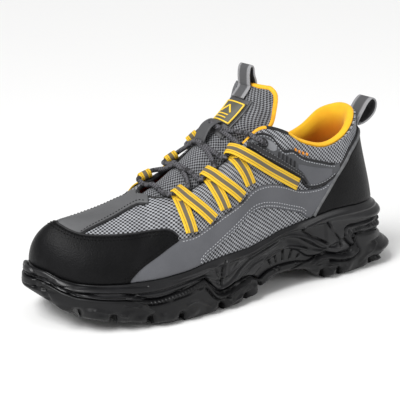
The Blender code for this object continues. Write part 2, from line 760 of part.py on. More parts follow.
def add_vamp_strip():
    """Smooth strip over the ridge of the vamp."""
    rows = stations_with(VAMP_STRIP["q"])
    out = np.full((len(rows), 1), SEAT + OVERLAY)
    low = np.interp(rows, VAMP_STRIP["q"], VAMP_STRIP["low"])[:, None]
    share = low + (1 - low) * np.linspace(0, 1, 5)[None, :]
    outer = skin(rows[:, None], share, out + 0 * share)
    inner = skin(across(rows)[:, None], share, out + 0 * share)
    crest = (outer[:, -1:] + inner[:, -1:]) / 2
    grid = np.concatenate([outer[:, :-1], crest, inner[:, -2::-1]], 1)
    add_shell("vamp_strip", grid, OVERLAY, "synthetic")


def add_ribbon(name, middles, thick, sides, width, finish):
    """Flat band along points, each with its thickness as a vector and the direction across it."""
    half = np.asarray(sides) * width / 2
    thick = np.asarray(thick)
    middles = np.asarray(middles)
    sections = np.stack([middles - half, middles + half, middles + half + thick, middles - half + thick], 1)
    return add_sweep(name, sections, finish)


def unit(vectors):
    """Vectors at length one."""
    return vectors / np.linalg.norm(vectors, axis=-1, keepdims=True)


def throat_frame(q):
    """Lace's centre in a loop beside the throat's edge, with directions off, up and along the edge."""
    q = np.array([q])
    base = rib(q, LOOP_TOP)[0]
    off = unit(skin(q, LOOP_TOP, 0.01)[0] - base)
    ahead = row_number(q)[0] < row_number(q + 0.05)[0]
    along = unit(rib(q - 0.05, LOOP_TOP)[0] - rib(q + 0.05, LOOP_TOP)[0]) * (1 if ahead else -1)
    along = unit(along - off * np.dot(along, off))
    up = unit(base - rib(q, LOOP_TOP - 0.03)[0])
    up = unit(up - along * np.dot(up, along) - off * np.dot(up, off))
    return base + off * (SEAT + GAP + WEBBING + SLEEVE_RADIUS), off, up, along


def leg_points(first, last, lifts, count):
    """Places on the upper from one point of its grid to another, and the directions off and across."""
    share = np.linspace(0, 1, count)
    q = first[0] + (last[0] - first[0]) * share
    v = first[1] + (last[1] - first[1]) * share
    place = skin(q, v, np.interp(share, (0, 1), lifts))
    off = unit(skin(q, v, 0.02 + 0 * q) - skin(q, v, 0 * q))
    run = unit(np.gradient(place, axis=0))
    return place, off, unit(np.cross(off, run))


def add_loop(name, spec, side):
    """Webbing loop: up one leg, round the lace, and down the other leg over the first."""
    foot, top_q, end = spec
    if side < 0:
        foot, top_q, end = (across(foot[0]), foot[1]), across(top_q), (across(end[0]), end[1])
    centre, off, up, along = throat_frame(top_q)
    base = SEAT + OVERLAY + GAP
    lowest = SEAT + GAP
    place, normal, sideways = leg_points(foot, (top_q, LOOP_TOP - 0.04), (base, lowest), 5)
    way = math.copysign(1.0, np.dot(sideways[-1], along))
    middles, thicknesses, sides = list(place), list(normal * WEBBING), list(sideways)
    for turn in np.linspace(0, math.pi, 5):
        outward = up * math.sin(turn) - off * math.cos(turn)
        middles.append(centre + outward * (SLEEVE_RADIUS + WEBBING))
        thicknesses.append(-outward * WEBBING)
        sides.append(along * way)
    highest = lowest + 2 * (WEBBING + SLEEVE_RADIUS)
    place, normal, sideways = leg_points((top_q, LOOP_TOP - 0.05), end, (highest, base + WEBBING), 6)
    middles += list(place)
    thicknesses += list(-normal * WEBBING)
    sides += list(sideways * math.copysign(1.0, np.dot(sideways[0], along * way)))
    add_ribbon(name, middles, thicknesses, sides, WEBBING_WIDTH, "yellow")


def smooth_path(points, steps):
    """Catmull-Rom curve through hand-set points, with this many steps between two of them."""
    points = np.asarray(points, float)
    ends = np.concatenate([[2 * points[0] - points[1]], points, [2 * points[-1] - points[-2]]])
    t = (np.arange(steps) / steps)[:, None]
    runs = []
    for a, b, c, d in zip(ends, ends[1:], ends[2:], ends[3:]):
        runs.append(b + 0.5 * t * (c - a + t * (2 * a - 5 * b + 4 * c - d + t * (3 * (b - c) + d - a))))
    return np.concatenate(runs + [points[-1:]])


def add_tube(name, points, radius, finish):
    """Round cord along points, as a mesh that a Boolean can take."""
    curve = bpy.data.curves.new(name, "CURVE")
    curve.dimensions = "3D"
    curve.bevel_depth = radius
    curve.bevel_resolution = 1
    curve.use_fill_caps = True
    line = curve.splines.new("POLY")
    line.points.add(len(points) - 1)
    for point, place in zip(line.points, points):
        point.co = (*place, 1.0)
    guide = bpy.data.objects.new(name + "_guide", curve)
    cutters.objects.link(guide)
    bpy.context.view_layer.update()
    evaluated = guide.evaluated_get(bpy.context.evaluated_depsgraph_get())
    mesh = bpy.data.meshes.new_from_object(evaluated)
    bpy.data.objects.remove(guide, do_unlink=True)
    shape = bmesh.new()
    shape.from_mesh(mesh)
    bmesh.ops.remove_doubles(shape, verts=shape.verts, dist=0.00002)
    bmesh.ops.recalc_face_normals(shape, faces=shape.faces)
    shape.to_mesh(mesh)
    shape.free()
    mesh.materials.clear()
    mesh.materials.append(material(finish))
    made = bpy.data.objects.new(name, mesh)
    parts.objects.link(made)
    return made


def over_edge(side):
    """The lace's last places: over the throat's edge, down the quarter and to the top eyelet."""
    edge_q, outer_q, outer_v = LACE_OVER_EDGE
    edge_q, outer_q, hole_q = (
        np.array([q if side > 0 else across(q)]) for q in (edge_q, outer_q, TOP_EYELET[0])
    )
    edge = rib(edge_q, 1.0)[0]
    up = unit(edge - rib(edge_q, 0.96)[0])
    off = unit(skin(edge_q, 0.97, 0.01)[0] - skin(edge_q, 0.97, 0.0)[0])
    lift = SEAT + OVERLAY + LACE_RADIUS + 4 * GAP
    return [
        edge + up * (LACE_RADIUS + 3 * GAP) + off * (LACE_RADIUS + 3 * GAP),
        skin(outer_q, outer_v, lift)[0],
        skin(hole_q, TOP_EYELET[1], lift)[0],
    ]


def lace_path(start):
    """Path of one end of the lace: from the middle of the first bar, from loop to loop, to an eyelet."""
    tops = [top for _, top, _ in LOOPS]
    frames = {1: [throat_frame(q) for q in tops], -1: [throat_frame(across(q)) for q in tops]}
    lift = LACE_RADIUS + 3 * SEAT
    path = [tongue_point(FIRST_BAR, start * t, lift + 2 * GAP) for t in (0.0, CROSSING_REACH)]
    side = start
    for row, (middle_s, change) in enumerate(CROSSINGS):
        middle, _, _, along = frames[side][row]
        path += [middle + along * WEBBING_WIDTH * reach for reach in (-0.8, -0.3, 0.3, 0.8)]
        for t in (CROSSING_REACH, 0.0, -CROSSING_REACH):
            path.append(tongue_point(middle_s - change * t / CROSSING_REACH, side * t, lift))
        side = -side
    return smooth_path(path + over_edge(side), 2)


def add_laces():
    """Crossed lace through the six loops, joined where it crosses itself."""
    laces = add_tube("laces", lace_path(1), LACE_RADIUS, "synthetic")
    strand = add_tube("lace_crossing", lace_path(-1), LACE_RADIUS, "synthetic")
    cutters.objects.link(strand)
    parts.objects.unlink(strand)
    boolean(laces, strand, "UNION")


def add_tongue():
    """Padded tongue, thick in the middle and thin at its edges."""
    row = np.arange(TONGUE_TOP + 1.0)[:, None]
    t = np.linspace(-1, 1, 9)[None, :]
    thickness = TONGUE * (0.35 + 0.65 * np.sqrt(1 - t**2)) * np.where(row == TONGUE_TOP, 0.5, 1.0)
    outer = tongue_point(row, t)
    inner = tongue_point(row, t, -thickness)
    add_sweep("tongue", np.concatenate([outer, inner[:, ::-1]], 1), "mesh")


def tongue_patch(name, place, finish):
    """Plate on the tongue's middle, following its curve: first row, last row and share of the width."""
    first, last, half = place
    row = np.linspace(first, last, 4)[:, None]
    t = np.linspace(-half, half, 5)[None, :]
    low = tongue_point(row, t, np.full((4, 5), SEAT))
    high = tongue_point(row, t, np.full((4, 5), SEAT + WEBBING))
    add_sweep(name, np.concatenate([low, high[:, ::-1]], 1), finish)


def add_lining():
    """Padded lining of the collar, rolled over its top edge."""
    rows = stations_with(np.array((-COLLAR_END, COLLAR_END)))
    tucked = -(WALL + SEAT)
    profile = (
        (0.52, tucked),
        (0.66, tucked),
        (0.80, tucked),
        (0.93, tucked),
        (1.00, tucked),
    )
    outer = [skin(rows, v, np.full(rows.shape, out)) for v, out in profile]
    edge = rib(rows, 1.0)
    up = unit(edge - rib(rows, 0.96))
    off = unit(skin(rows, 0.97, 0 * rows + 0.01) - skin(rows, 0.97, 0 * rows))
    ends = np.clip((COLLAR_END - np.abs(rows)) / 0.5, 0.35, 1.0)[:, None]
    roll = [
        edge - off * WALL * 0.9 + up * LINING_ROLL * 0.55 * ends,
        edge - off * (WALL + LINING * 0.35) + up * LINING_ROLL * ends,
        edge - off * (WALL + LINING * 0.85) + up * LINING_ROLL * 0.6 * ends,
    ]
    inner = [
        skin(rows, v, -(WALL + SEAT) - LINING * depth * ends[:, 0])
        for v, depth in ((0.95, 1.05), (0.82, 1.0), (0.68, 0.75), (0.52, 0.4))
    ]
    add_sweep("collar_lining", np.stack(outer + roll + inner, 1), "lining")


def add_pull(name, points, width, finish):
    """Pull loop: a band across the shoe's middle along points."""
    path = smooth_path(points, 3)
    run = unit(np.gradient(path, axis=0))
    side = np.array((0.0, 1.0, 0.0))
    off = unit(np.cross(run, side))
    add_ribbon(name, path, off * PULL_THICKNESS, np.broadcast_to(side, path.shape), width, finish)


def cut_top_eyelets(targets):
    """Holes for the lace's ends through the upper and its quarter supports."""
    for side in (1, -1):
        q = np.array([TOP_EYELET[0] if side > 0 else across(TOP_EYELET[0])])
        start, end = (skin(q, TOP_EYELET[1], out)[0] for out in (-0.006, 0.008))
        shape = bmesh.new()
        turn = Vector(end - start).to_track_quat("Z", "Y").to_matrix().to_4x4()
        place = Matrix.Translation(Vector((start + end) / 2)) @ turn
        bmesh.ops.create_cone(
            shape, cap_ends=True, segments=12, radius1=EYELET_RADIUS, radius2=EYELET_RADIUS, depth=0.014, matrix=place
        )
        mesh = bpy.data.meshes.new("eyelet")
        shape.to_mesh(mesh)
        shape.free()
        for target in (targets["upper"], targets[side]):
            hole = bpy.data.objects.new(f"eyelet_{target.name}", mesh)
            cutters.objects.link(hole)
            boolean(target, hole, "DIFFERENCE")


def add_collar_tab():
    """Small tab on the collar's outer side."""
    first, last, low, high = COLLAR_TAB
    rows = np.linspace(first, last, 4)
    grid = skin(rows[:, None], np.linspace(low, high, 3)[None, :], np.full((4, 3), SEAT + TAB))
    add_shell("collar_tab", grid, TAB, "lining")


def main():
    """Builds the shoe from the sole up."""
    for old in list(bpy.data.objects):
        bpy.data.objects.remove(old, do_unlink=True)
    bpy.context.scene.collection.children.link(parts)
    bpy.context.scene.collection.children.link(cutters)
    add_outsole()
    add_midsole()
    add_insole()
    targets = {"upper": add_upper()}
    add_tongue()
    add_lining()
    add_overlay("toe_cap", TOE_CAP, 6, "cap", both_sides_of=TIP)
    add_overlay("heel_counter", COUNTER, 6, "cap", both_sides_of=0)
    add_vamp_strip()
    for side, word in ((1, "lateral"), (-1, "medial")):
        add_overlay(f"side_panel_{word}", SIDE_PANEL, 4, "synthetic", side)
        targets[side] = add_overlay(f"quarter_support_{word}", QUARTER, 4, "synthetic", side)
        for number, spec in enumerate(LOOPS):
            add_loop(f"lace_loop_{word}_{number + 1}", spec, side)
    cut_top_eyelets(targets)
    add_laces()
    tongue_patch("tongue_badge", BADGE, "synthetic")
    tongue_patch("lace_keeper", KEEPER, "webbing")
    hold = np.linspace(PULL_HOLD, TONGUE_TOP - 1, 2)
    front = [tongue_point(row, 0.0, SEAT + PULL_THICKNESS) for row in hold]
    back = [tongue_point(row, 0.0, -TONGUE - SEAT - 2 * PULL_THICKNESS) for row in hold[::-1]]
    arc = [(station_x(x), 0.0, z * INSTEP) for x, z in TONGUE_PULL]
    add_pull("tongue_pull_loop", front + arc + back, TONGUE_PULL_WIDTH, "webbing")
    arc = [(station_x(x), 0.0, z * INSTEP) for x, z in HEEL_PULL]
    add_pull("heel_pull_loop", arc, PULL_WIDTH, "webbing")
    add_collar_tab()


main()
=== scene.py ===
"""Looks of a left safety sneaker: fine surfaces, finishes, floor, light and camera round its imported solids.

Metres, +X towards the toe, +Y to the outer side, +Z up. Places on the upper are given by a station q
round the foot (0 at the heel, TIP at the toe, RING - q on the inner side) and a share v of the rib.
"""

import logging
import math
from dataclasses import dataclass, field
from enum import Enum
from typing import Any, Sequence

import bmesh
import bpy
import numpy as np
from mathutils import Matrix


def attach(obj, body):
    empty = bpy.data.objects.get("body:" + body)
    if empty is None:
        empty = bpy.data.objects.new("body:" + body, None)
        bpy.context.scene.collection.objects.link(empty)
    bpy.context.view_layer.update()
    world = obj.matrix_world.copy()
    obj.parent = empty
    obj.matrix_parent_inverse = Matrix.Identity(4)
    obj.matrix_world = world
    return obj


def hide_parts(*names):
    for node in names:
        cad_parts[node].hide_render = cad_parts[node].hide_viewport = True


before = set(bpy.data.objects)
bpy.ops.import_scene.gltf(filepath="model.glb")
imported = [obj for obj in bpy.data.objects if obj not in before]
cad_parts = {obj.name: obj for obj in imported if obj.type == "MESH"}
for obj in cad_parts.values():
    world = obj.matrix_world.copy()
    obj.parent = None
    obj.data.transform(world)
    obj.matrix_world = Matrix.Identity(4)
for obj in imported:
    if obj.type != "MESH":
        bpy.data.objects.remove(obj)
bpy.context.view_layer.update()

log = logging.getLogger("safety_sneaker")

Array = np.ndarray
Columns = dict[str, Array]
Triple = tuple[float, float, float]

# Sizes in metres. GAP is between pieces, and SEAT between the upper and what lies on it.
LENGTH = 0.310
HEEL_BACK = 0.051
BALL_HALF = 0.054
LAST_HALF = 0.048
INSTEP = 0.118
BED = 0.040
RIM = 0.052
SPRING = 0.028
GAP = 0.0003
SEAT = 0.0004
WALL = 0.0022
OVERLAY = 0.0015
WEBBING = 0.0010
WEBBING_WIDTH = 0.009
LIP = 0.003
PLATE = 0.0055
STEP = 0.0032
HEEL_KICK = 0.008
INSOLE = 0.004
LINING = 0.006
LINING_ROLL = 0.0035
TONGUE = 0.005
LACE_RADIUS = 0.0017
SLEEVE_RADIUS = 0.0024
GROOVE_WIDTH = 0.004
GROOVE_DEPTH = 0.0038
PULL_WIDTH = 0.016
TONGUE_PULL_WIDTH = 0.0145
PULL_THICKNESS = 0.0013
KEEPER_THICKNESS = 0.0012
THIN_CORD = 0.0009
THROAT_ROW = 12
MERGE = 0.000004
MM = 0.001


def table(names: str, *rows: Sequence[float]) -> Columns:
    """Names the columns of a given table.

    Args:
        names: the columns' names, with spaces between.
        *rows: one row for each section.

    Returns:
        Each column as an array, by name.
    """
    return dict(zip(names.split(), np.array(rows, float).T))


# The last: x is a share of LENGTH, out and in of LAST_HALF, rise of INSTEP and bed of BED.
LAST = table(
    "foot_x foot_out foot_in top_x top_out top_in rise_out rise_in bed wall belly reach drop",
    (0.056, 0.000, 0.000, 0.098, 0.00, 0.00, 0.996, 0.996, 1.00, 0.28, 0.015, 0.04, 0.34),
    (0.071, 0.365, 0.344, 0.108, 0.25, 0.25, 0.979, 0.983, 1.00, 0.28, 0.005, 0.03, 0.34),
    (0.116, 0.615, 0.583, 0.142, 0.46, 0.45, 0.919, 0.941, 1.00, 0.30, 0.015, 0.14, 0.32),
    (0.187, 0.719, 0.677, 0.190, 0.59, 0.56, 0.860, 0.839, 1.00, 0.32, 0.050, 0.38, 0.30),
    (0.261, 0.729, 0.667, 0.252, 0.65, 0.60, 0.831, 0.792, 0.97, 0.32, 0.073, 0.50, 0.30),
    (0.342, 0.740, 0.625, 0.319, 0.66, 0.61, 0.881, 0.847, 0.94, 0.32, 0.073, 0.50, 0.28),
    (0.419, 0.792, 0.646, 0.374, 0.63, 0.59, 0.970, 0.958, 0.89, 0.31, 0.062, 0.50, 0.24),
    (0.494, 0.875, 0.740, 0.426, 0.54, 0.51, 1.000, 0.992, 0.80, 0.30, 0.052, 0.50, 0.19),
    (0.561, 0.948, 0.833, 0.474, 0.49, 0.46, 0.915, 0.911, 0.72, 0.30, 0.052, 0.52, 0.15),
    (0.626, 0.990, 0.906, 0.535, 0.46, 0.43, 0.792, 0.797, 0.66, 0.31, 0.052, 0.50, 0.12),
    (0.684, 1.000, 0.948, 0.610, 0.45, 0.42, 0.682, 0.703, 0.65, 0.34, 0.042, 0.48, 0.09),
    (0.735, 0.958, 0.958, 0.674, 0.28, 0.27, 0.652, 0.660, 0.66, 0.38, 0.042, 0.48, 0.10),
    (0.781, 0.885, 0.917, 0.706, 0.00, 0.00, 0.656, 0.656, 0.66, 0.42, 0.042, 0.48, 0.12),
    (0.832, 0.750, 0.833, 0.761, 0.00, 0.00, 0.614, 0.614, 0.67, 0.50, 0.062, 0.52, 0.11),
    (0.881, 0.562, 0.688, 0.803, 0.00, 0.00, 0.588, 0.588, 0.70, 0.56, 0.062, 0.56, 0.08),
    (0.919, 0.323, 0.510, 0.835, 0.00, 0.00, 0.578, 0.578, 0.76, 0.60, 0.062, 0.60, 0.04),
    (0.940, 0.083, 0.302, 0.855, 0.00, 0.00, 0.576, 0.576, 0.82, 0.63, 0.062, 0.62, 0.01),
    (0.947, -0.115, 0.115, 0.865, 0.00, 0.00, 0.576, 0.576, 0.85, 0.64, 0.062, 0.62, 0.00),
)
# The sole's plan: shares of LENGTH, BALL_HALF and HEEL_KICK.
PLAN = table(
    "x out in kick",
    (0.029, 0.000, 0.000, 1.0), (0.045, 0.389, 0.370, 0.7), (0.097, 0.657, 0.620, 0.2),
    (0.181, 0.759, 0.713, 0.0), (0.265, 0.759, 0.694, 0.0), (0.348, 0.759, 0.648, 0.0),
    (0.429, 0.806, 0.667, 0.0), (0.503, 0.889, 0.759, 0.0), (0.571, 0.954, 0.852, 0.0),
    (0.635, 1.000, 0.907, 0.0), (0.694, 1.009, 0.944, 0.0), (0.748, 0.981, 0.954, 0.0),
    (0.797, 0.917, 0.917, 0.0), (0.848, 0.824, 0.889, 0.0), (0.900, 0.640, 0.760, 0.0),
    (0.938, 0.410, 0.575, 0.0), (0.963, 0.110, 0.335, 0.0), (0.975, -0.130, 0.130, 0.0),
)
# Lines along the sole's side: ground is a share of SPRING, the steps of STEP and the rest of RIM.
SIDE = table(
    "x ground tread arch wave ridge rim arch_step wave_step ridge_step",
    (0.029, 0.11, 0.42, 0.52, 0.63, 0.73, 0.96, 0.3, 0.5, 0.8),
    (0.116, 0.00, 0.56, 0.62, 0.67, 0.77, 0.98, 0.3, 0.5, 0.8),
    (0.168, 0.00, 0.58, 0.62, 0.69, 0.81, 0.99, 0.3, 0.5, 0.8),
    (0.187, 0.00, 0.35, 0.42, 0.63, 0.83, 1.00, 0.3, 1.0, 0.7),
    (0.232, 0.00, 0.34, 0.38, 0.52, 0.85, 1.00, 0.3, 1.0, 0.6),
    (0.258, 0.00, 0.38, 0.41, 0.48, 0.85, 0.99, 0.4, 1.0, 0.5),
    (0.287, 0.14, 0.38, 0.41, 0.52, 0.83, 0.97, 0.6, 1.0, 0.5),
    (0.316, 0.36, 0.32, 0.42, 0.62, 0.82, 0.94, 1.0, 1.0, 0.5),
    (0.345, 0.43, 0.36, 0.54, 0.73, 0.84, 0.92, 1.0, 1.0, 0.5),
    (0.377, 0.46, 0.37, 0.62, 0.78, 0.84, 0.89, 1.0, 1.0, 0.5),
    (0.410, 0.46, 0.37, 0.62, 0.76, 0.81, 0.87, 1.0, 1.0, 0.5),
    (0.442, 0.39, 0.34, 0.58, 0.71, 0.76, 0.82, 1.0, 1.0, 0.5),
    (0.468, 0.21, 0.27, 0.45, 0.68, 0.73, 0.79, 0.8, 1.0, 0.5),
    (0.487, 0.11, 0.34, 0.38, 0.66, 0.70, 0.77, 0.5, 1.0, 0.5),
    (0.506, 0.04, 0.38, 0.41, 0.64, 0.69, 0.75, 0.4, 1.0, 0.5),
    (0.535, 0.00, 0.35, 0.39, 0.56, 0.67, 0.75, 0.4, 1.0, 0.6),
    (0.568, 0.00, 0.29, 0.34, 0.48, 0.66, 0.75, 0.4, 0.8, 0.8),
    (0.594, 0.00, 0.28, 0.34, 0.46, 0.64, 0.74, 0.4, 0.6, 0.9),
    (0.619, 0.00, 0.44, 0.46, 0.52, 0.62, 0.72, 0.3, 0.3, 1.0),
    (0.635, 0.00, 0.53, 0.54, 0.56, 0.60, 0.71, 0.2, 0.2, 1.0),
    (0.681, 0.00, 0.45, 0.47, 0.52, 0.57, 0.66, 0.2, 0.2, 1.0),
    (0.742, 0.04, 0.39, 0.42, 0.46, 0.52, 0.62, 0.2, 0.2, 1.0),
    (0.771, 0.09, 0.39, 0.42, 0.46, 0.51, 0.61, 0.2, 0.2, 1.0),
    (0.826, 0.19, 0.42, 0.44, 0.47, 0.51, 0.60, 0.2, 0.2, 1.0),
    (0.871, 0.26, 0.44, 0.46, 0.48, 0.52, 0.60, 0.2, 0.2, 1.0),
    (0.915, 0.36, 0.48, 0.50, 0.52, 0.55, 0.62, 0.2, 0.2, 1.0),
    (0.938, 0.50, 0.54, 0.56, 0.58, 0.61, 0.66, 0.2, 0.2, 0.8),
    (0.958, 0.68, 0.62, 0.64, 0.66, 0.69, 0.73, 0.2, 0.2, 0.4),
    (0.975, 0.83, 0.64, 0.66, 0.68, 0.71, 0.75, 0.2, 0.2, 0.3),
)
# The tongue's rows from the vamp up: its middle and its edge, and its half width.
TONGUE_ROWS = table(
    "mid_x mid_z edge_x edge_z half",
    (0.716, 0.610, 0.706, 0.545, 0.28), (0.665, 0.665, 0.655, 0.555, 0.42),
    (0.613, 0.740, 0.603, 0.600, 0.50), (0.561, 0.840, 0.545, 0.680, 0.52),
    (0.518, 0.935, 0.496, 0.780, 0.50), (0.490, 1.015, 0.442, 0.885, 0.46),
    (0.458, 1.085, 0.396, 0.995, 0.49), (0.430, 1.148, 0.390, 1.095, 0.54),
    (0.412, 1.205, 0.389, 1.180, 0.55), (0.406, 1.228, 0.392, 1.222, 0.48),
)
# Edges of the overlays, as shares of the rib at row numbers.
TOE_CAP = table(
    "q low high",
    (10.28, 0.435, 0.475), (10.60, 0.390, 0.545), (11.10, 0.315, 0.560), (12.00, 0.185, 0.525),
    (12.85, 0.000, 0.548), (13.80, 0.000, 0.580), (14.50, 0.000, 0.605), (15.10, 0.000, 0.650),
    (15.90, 0.000, 0.710), (17.00, 0.000, 0.770),
)
SIDE_PANEL = table(
    "q low high",
    (3.62, 0.590, 0.606), (3.85, 0.500, 0.575), (4.15, 0.385, 0.525), (4.58, 0.185, 0.500),
    (4.98, 0.255, 0.490), (5.60, 0.300, 0.510), (6.18, 0.335, 0.520), (6.62, 0.350, 0.515),
    (7.05, 0.345, 0.500), (7.58, 0.305, 0.460), (8.25, 0.260, 0.450), (8.78, 0.220, 0.445),
    (9.20, 0.175, 0.435), (9.60, 0.000, 0.430), (10.15, 0.000, 0.445), (10.40, 0.000, 0.430),
    (11.05, 0.000, 0.350), (11.80, 0.000, 0.250), (12.40, 0.000, 0.170),
)
COUNTER = table(
    "q low high",
    (0.00, 0.000, 0.800), (0.80, 0.000, 0.810), (1.60, 0.000, 0.820), (2.55, 0.000, 0.795),
    (3.08, 0.000, 0.700), (3.60, 0.000, 0.575), (4.15, 0.000, 0.355), (4.45, 0.000, 0.190),
)
THROAT_WING = table(
    "q low high",
    (11.42, 0.880, 0.990), (11.55, 0.862, 0.992), (11.80, 0.852, 0.994), (12.20, 0.838, 0.994),
)
VAMP_STRIP = table(
    "q low",
    (11.95, 0.850), (12.50, 0.828), (13.05, 0.800), (13.65, 0.755), (14.20, 0.690), (14.60, 0.610),
    (15.20, 0.630), (15.90, 0.680), (16.98, 0.740),
)
QUARTER_SKIN = table(
    "q low high",
    (3.35, 0.665, 0.742), (3.70, 0.612, 0.762), (4.15, 0.556, 0.806), (4.60, 0.528, 0.822),
    (4.85, 0.560, 0.822), (5.00, 0.615, 0.826), (5.25, 0.642, 0.838), (5.50, 0.656, 0.848),
    (5.85, 0.673, 0.803), (6.15, 0.690, 0.835), (6.50, 0.712, 0.900), (6.95, 0.752, 0.925),
    (7.30, 0.815, 0.932), (7.65, 0.870, 0.930),
)
QUARTER_BAND = table(
    "q low high",
    (4.80, 0.548, 0.565), (4.95, 0.592, 0.645), (5.10, 0.620, 0.676), (5.40, 0.644, 0.697),
    (5.85, 0.666, 0.722), (6.30, 0.694, 0.754), (6.85, 0.735, 0.797), (7.30, 0.806, 0.868),
    (7.62, 0.866, 0.918),
)
QUARTER_INSERT = table(
    "q low high",
    (6.22, 0.792, 0.826), (6.42, 0.776, 0.862), (6.85, 0.808, 0.886), (7.15, 0.846, 0.904),
    (7.42, 0.886, 0.914),
)
QUARTER_REAR = table(
    "q low high",
    (3.75, 0.645, 0.722), (4.10, 0.590, 0.744), (4.60, 0.548, 0.757), (4.80, 0.592, 0.757),
    (5.00, 0.660, 0.757), (5.22, 0.695, 0.750),
)
QUARTER_RIBS = (6.10, 5.92, 5.74, 5.56, 5.38)
RIB_HEIGHT = 0.068
# Each loop: the foot of its lower leg, the row of its top, and the end of its upper leg.
LOOPS = (
    ((9.76, 0.470), 10.35, (8.88, 0.475)),
    ((8.36, 0.490), 9.30, (7.66, 0.500)),
    ((7.20, 0.545), 8.35, (5.18, 0.548)),
)
# The laces, badge and keeper, by rows and shares of the tongue's half width.
FIRST_BAR = 1.16
CROSSINGS = ((2.37, 0.11), (3.55, 0.08), (4.75, 0.08))
CROSSING_REACH = 0.45
LOOP_TOP = 0.965
BADGE = (5.10, 6.70, 0.42)
KEEPER = (3.55, 5.05, 0.26)
TOP_EYELET = (6.85, 0.835)
LACE_OVER_EDGE = (7.70, 7.30, 0.905)
COLLAR_TAB = (4.75, 5.45, 0.855, 0.915)
COLLAR_END = 5.9
PULL_HOLD = 7.0
# The pull loops in the shoe's middle: shares of LENGTH and INSTEP.
TONGUE_PULL = (
    (0.4165, 1.235), (0.4175, 1.290), (0.4150, 1.333), (0.4080, 1.350), (0.4010, 1.333), (0.3985, 1.290),
    (0.3930, 1.245),
)
HEEL_PULL = (
    (0.0924, 0.885), (0.0822, 0.930), (0.0710, 0.975), (0.0580, 1.021), (0.0435, 1.046), (0.0306, 1.030),
    (0.0265, 0.992), (0.0323, 0.945), (0.0478, 0.907), (0.0660, 0.884), (0.0826, 0.876),
)
# Grooves across the tread: share of LENGTH, share of GROOVE_WIDTH, and lean of their V.
GROOVES = table(
    "x width lean",
    (0.070, 1.0, -0.15), (0.120, 1.0, -0.15), (0.215, 1.0, 0.15), (0.262, 1.0, 0.15), (0.480, 1.0, -0.20),
    (0.525, 1.0, -0.20), (0.601, 1.6, -0.20), (0.680, 1.0, 0.20), (0.755, 1.0, 0.20), (0.832, 1.0, 0.25),
    (0.903, 1.0, 0.25),
)
LEAN_SHOWN = 0.4
EDGE_DEPTH = 1.7
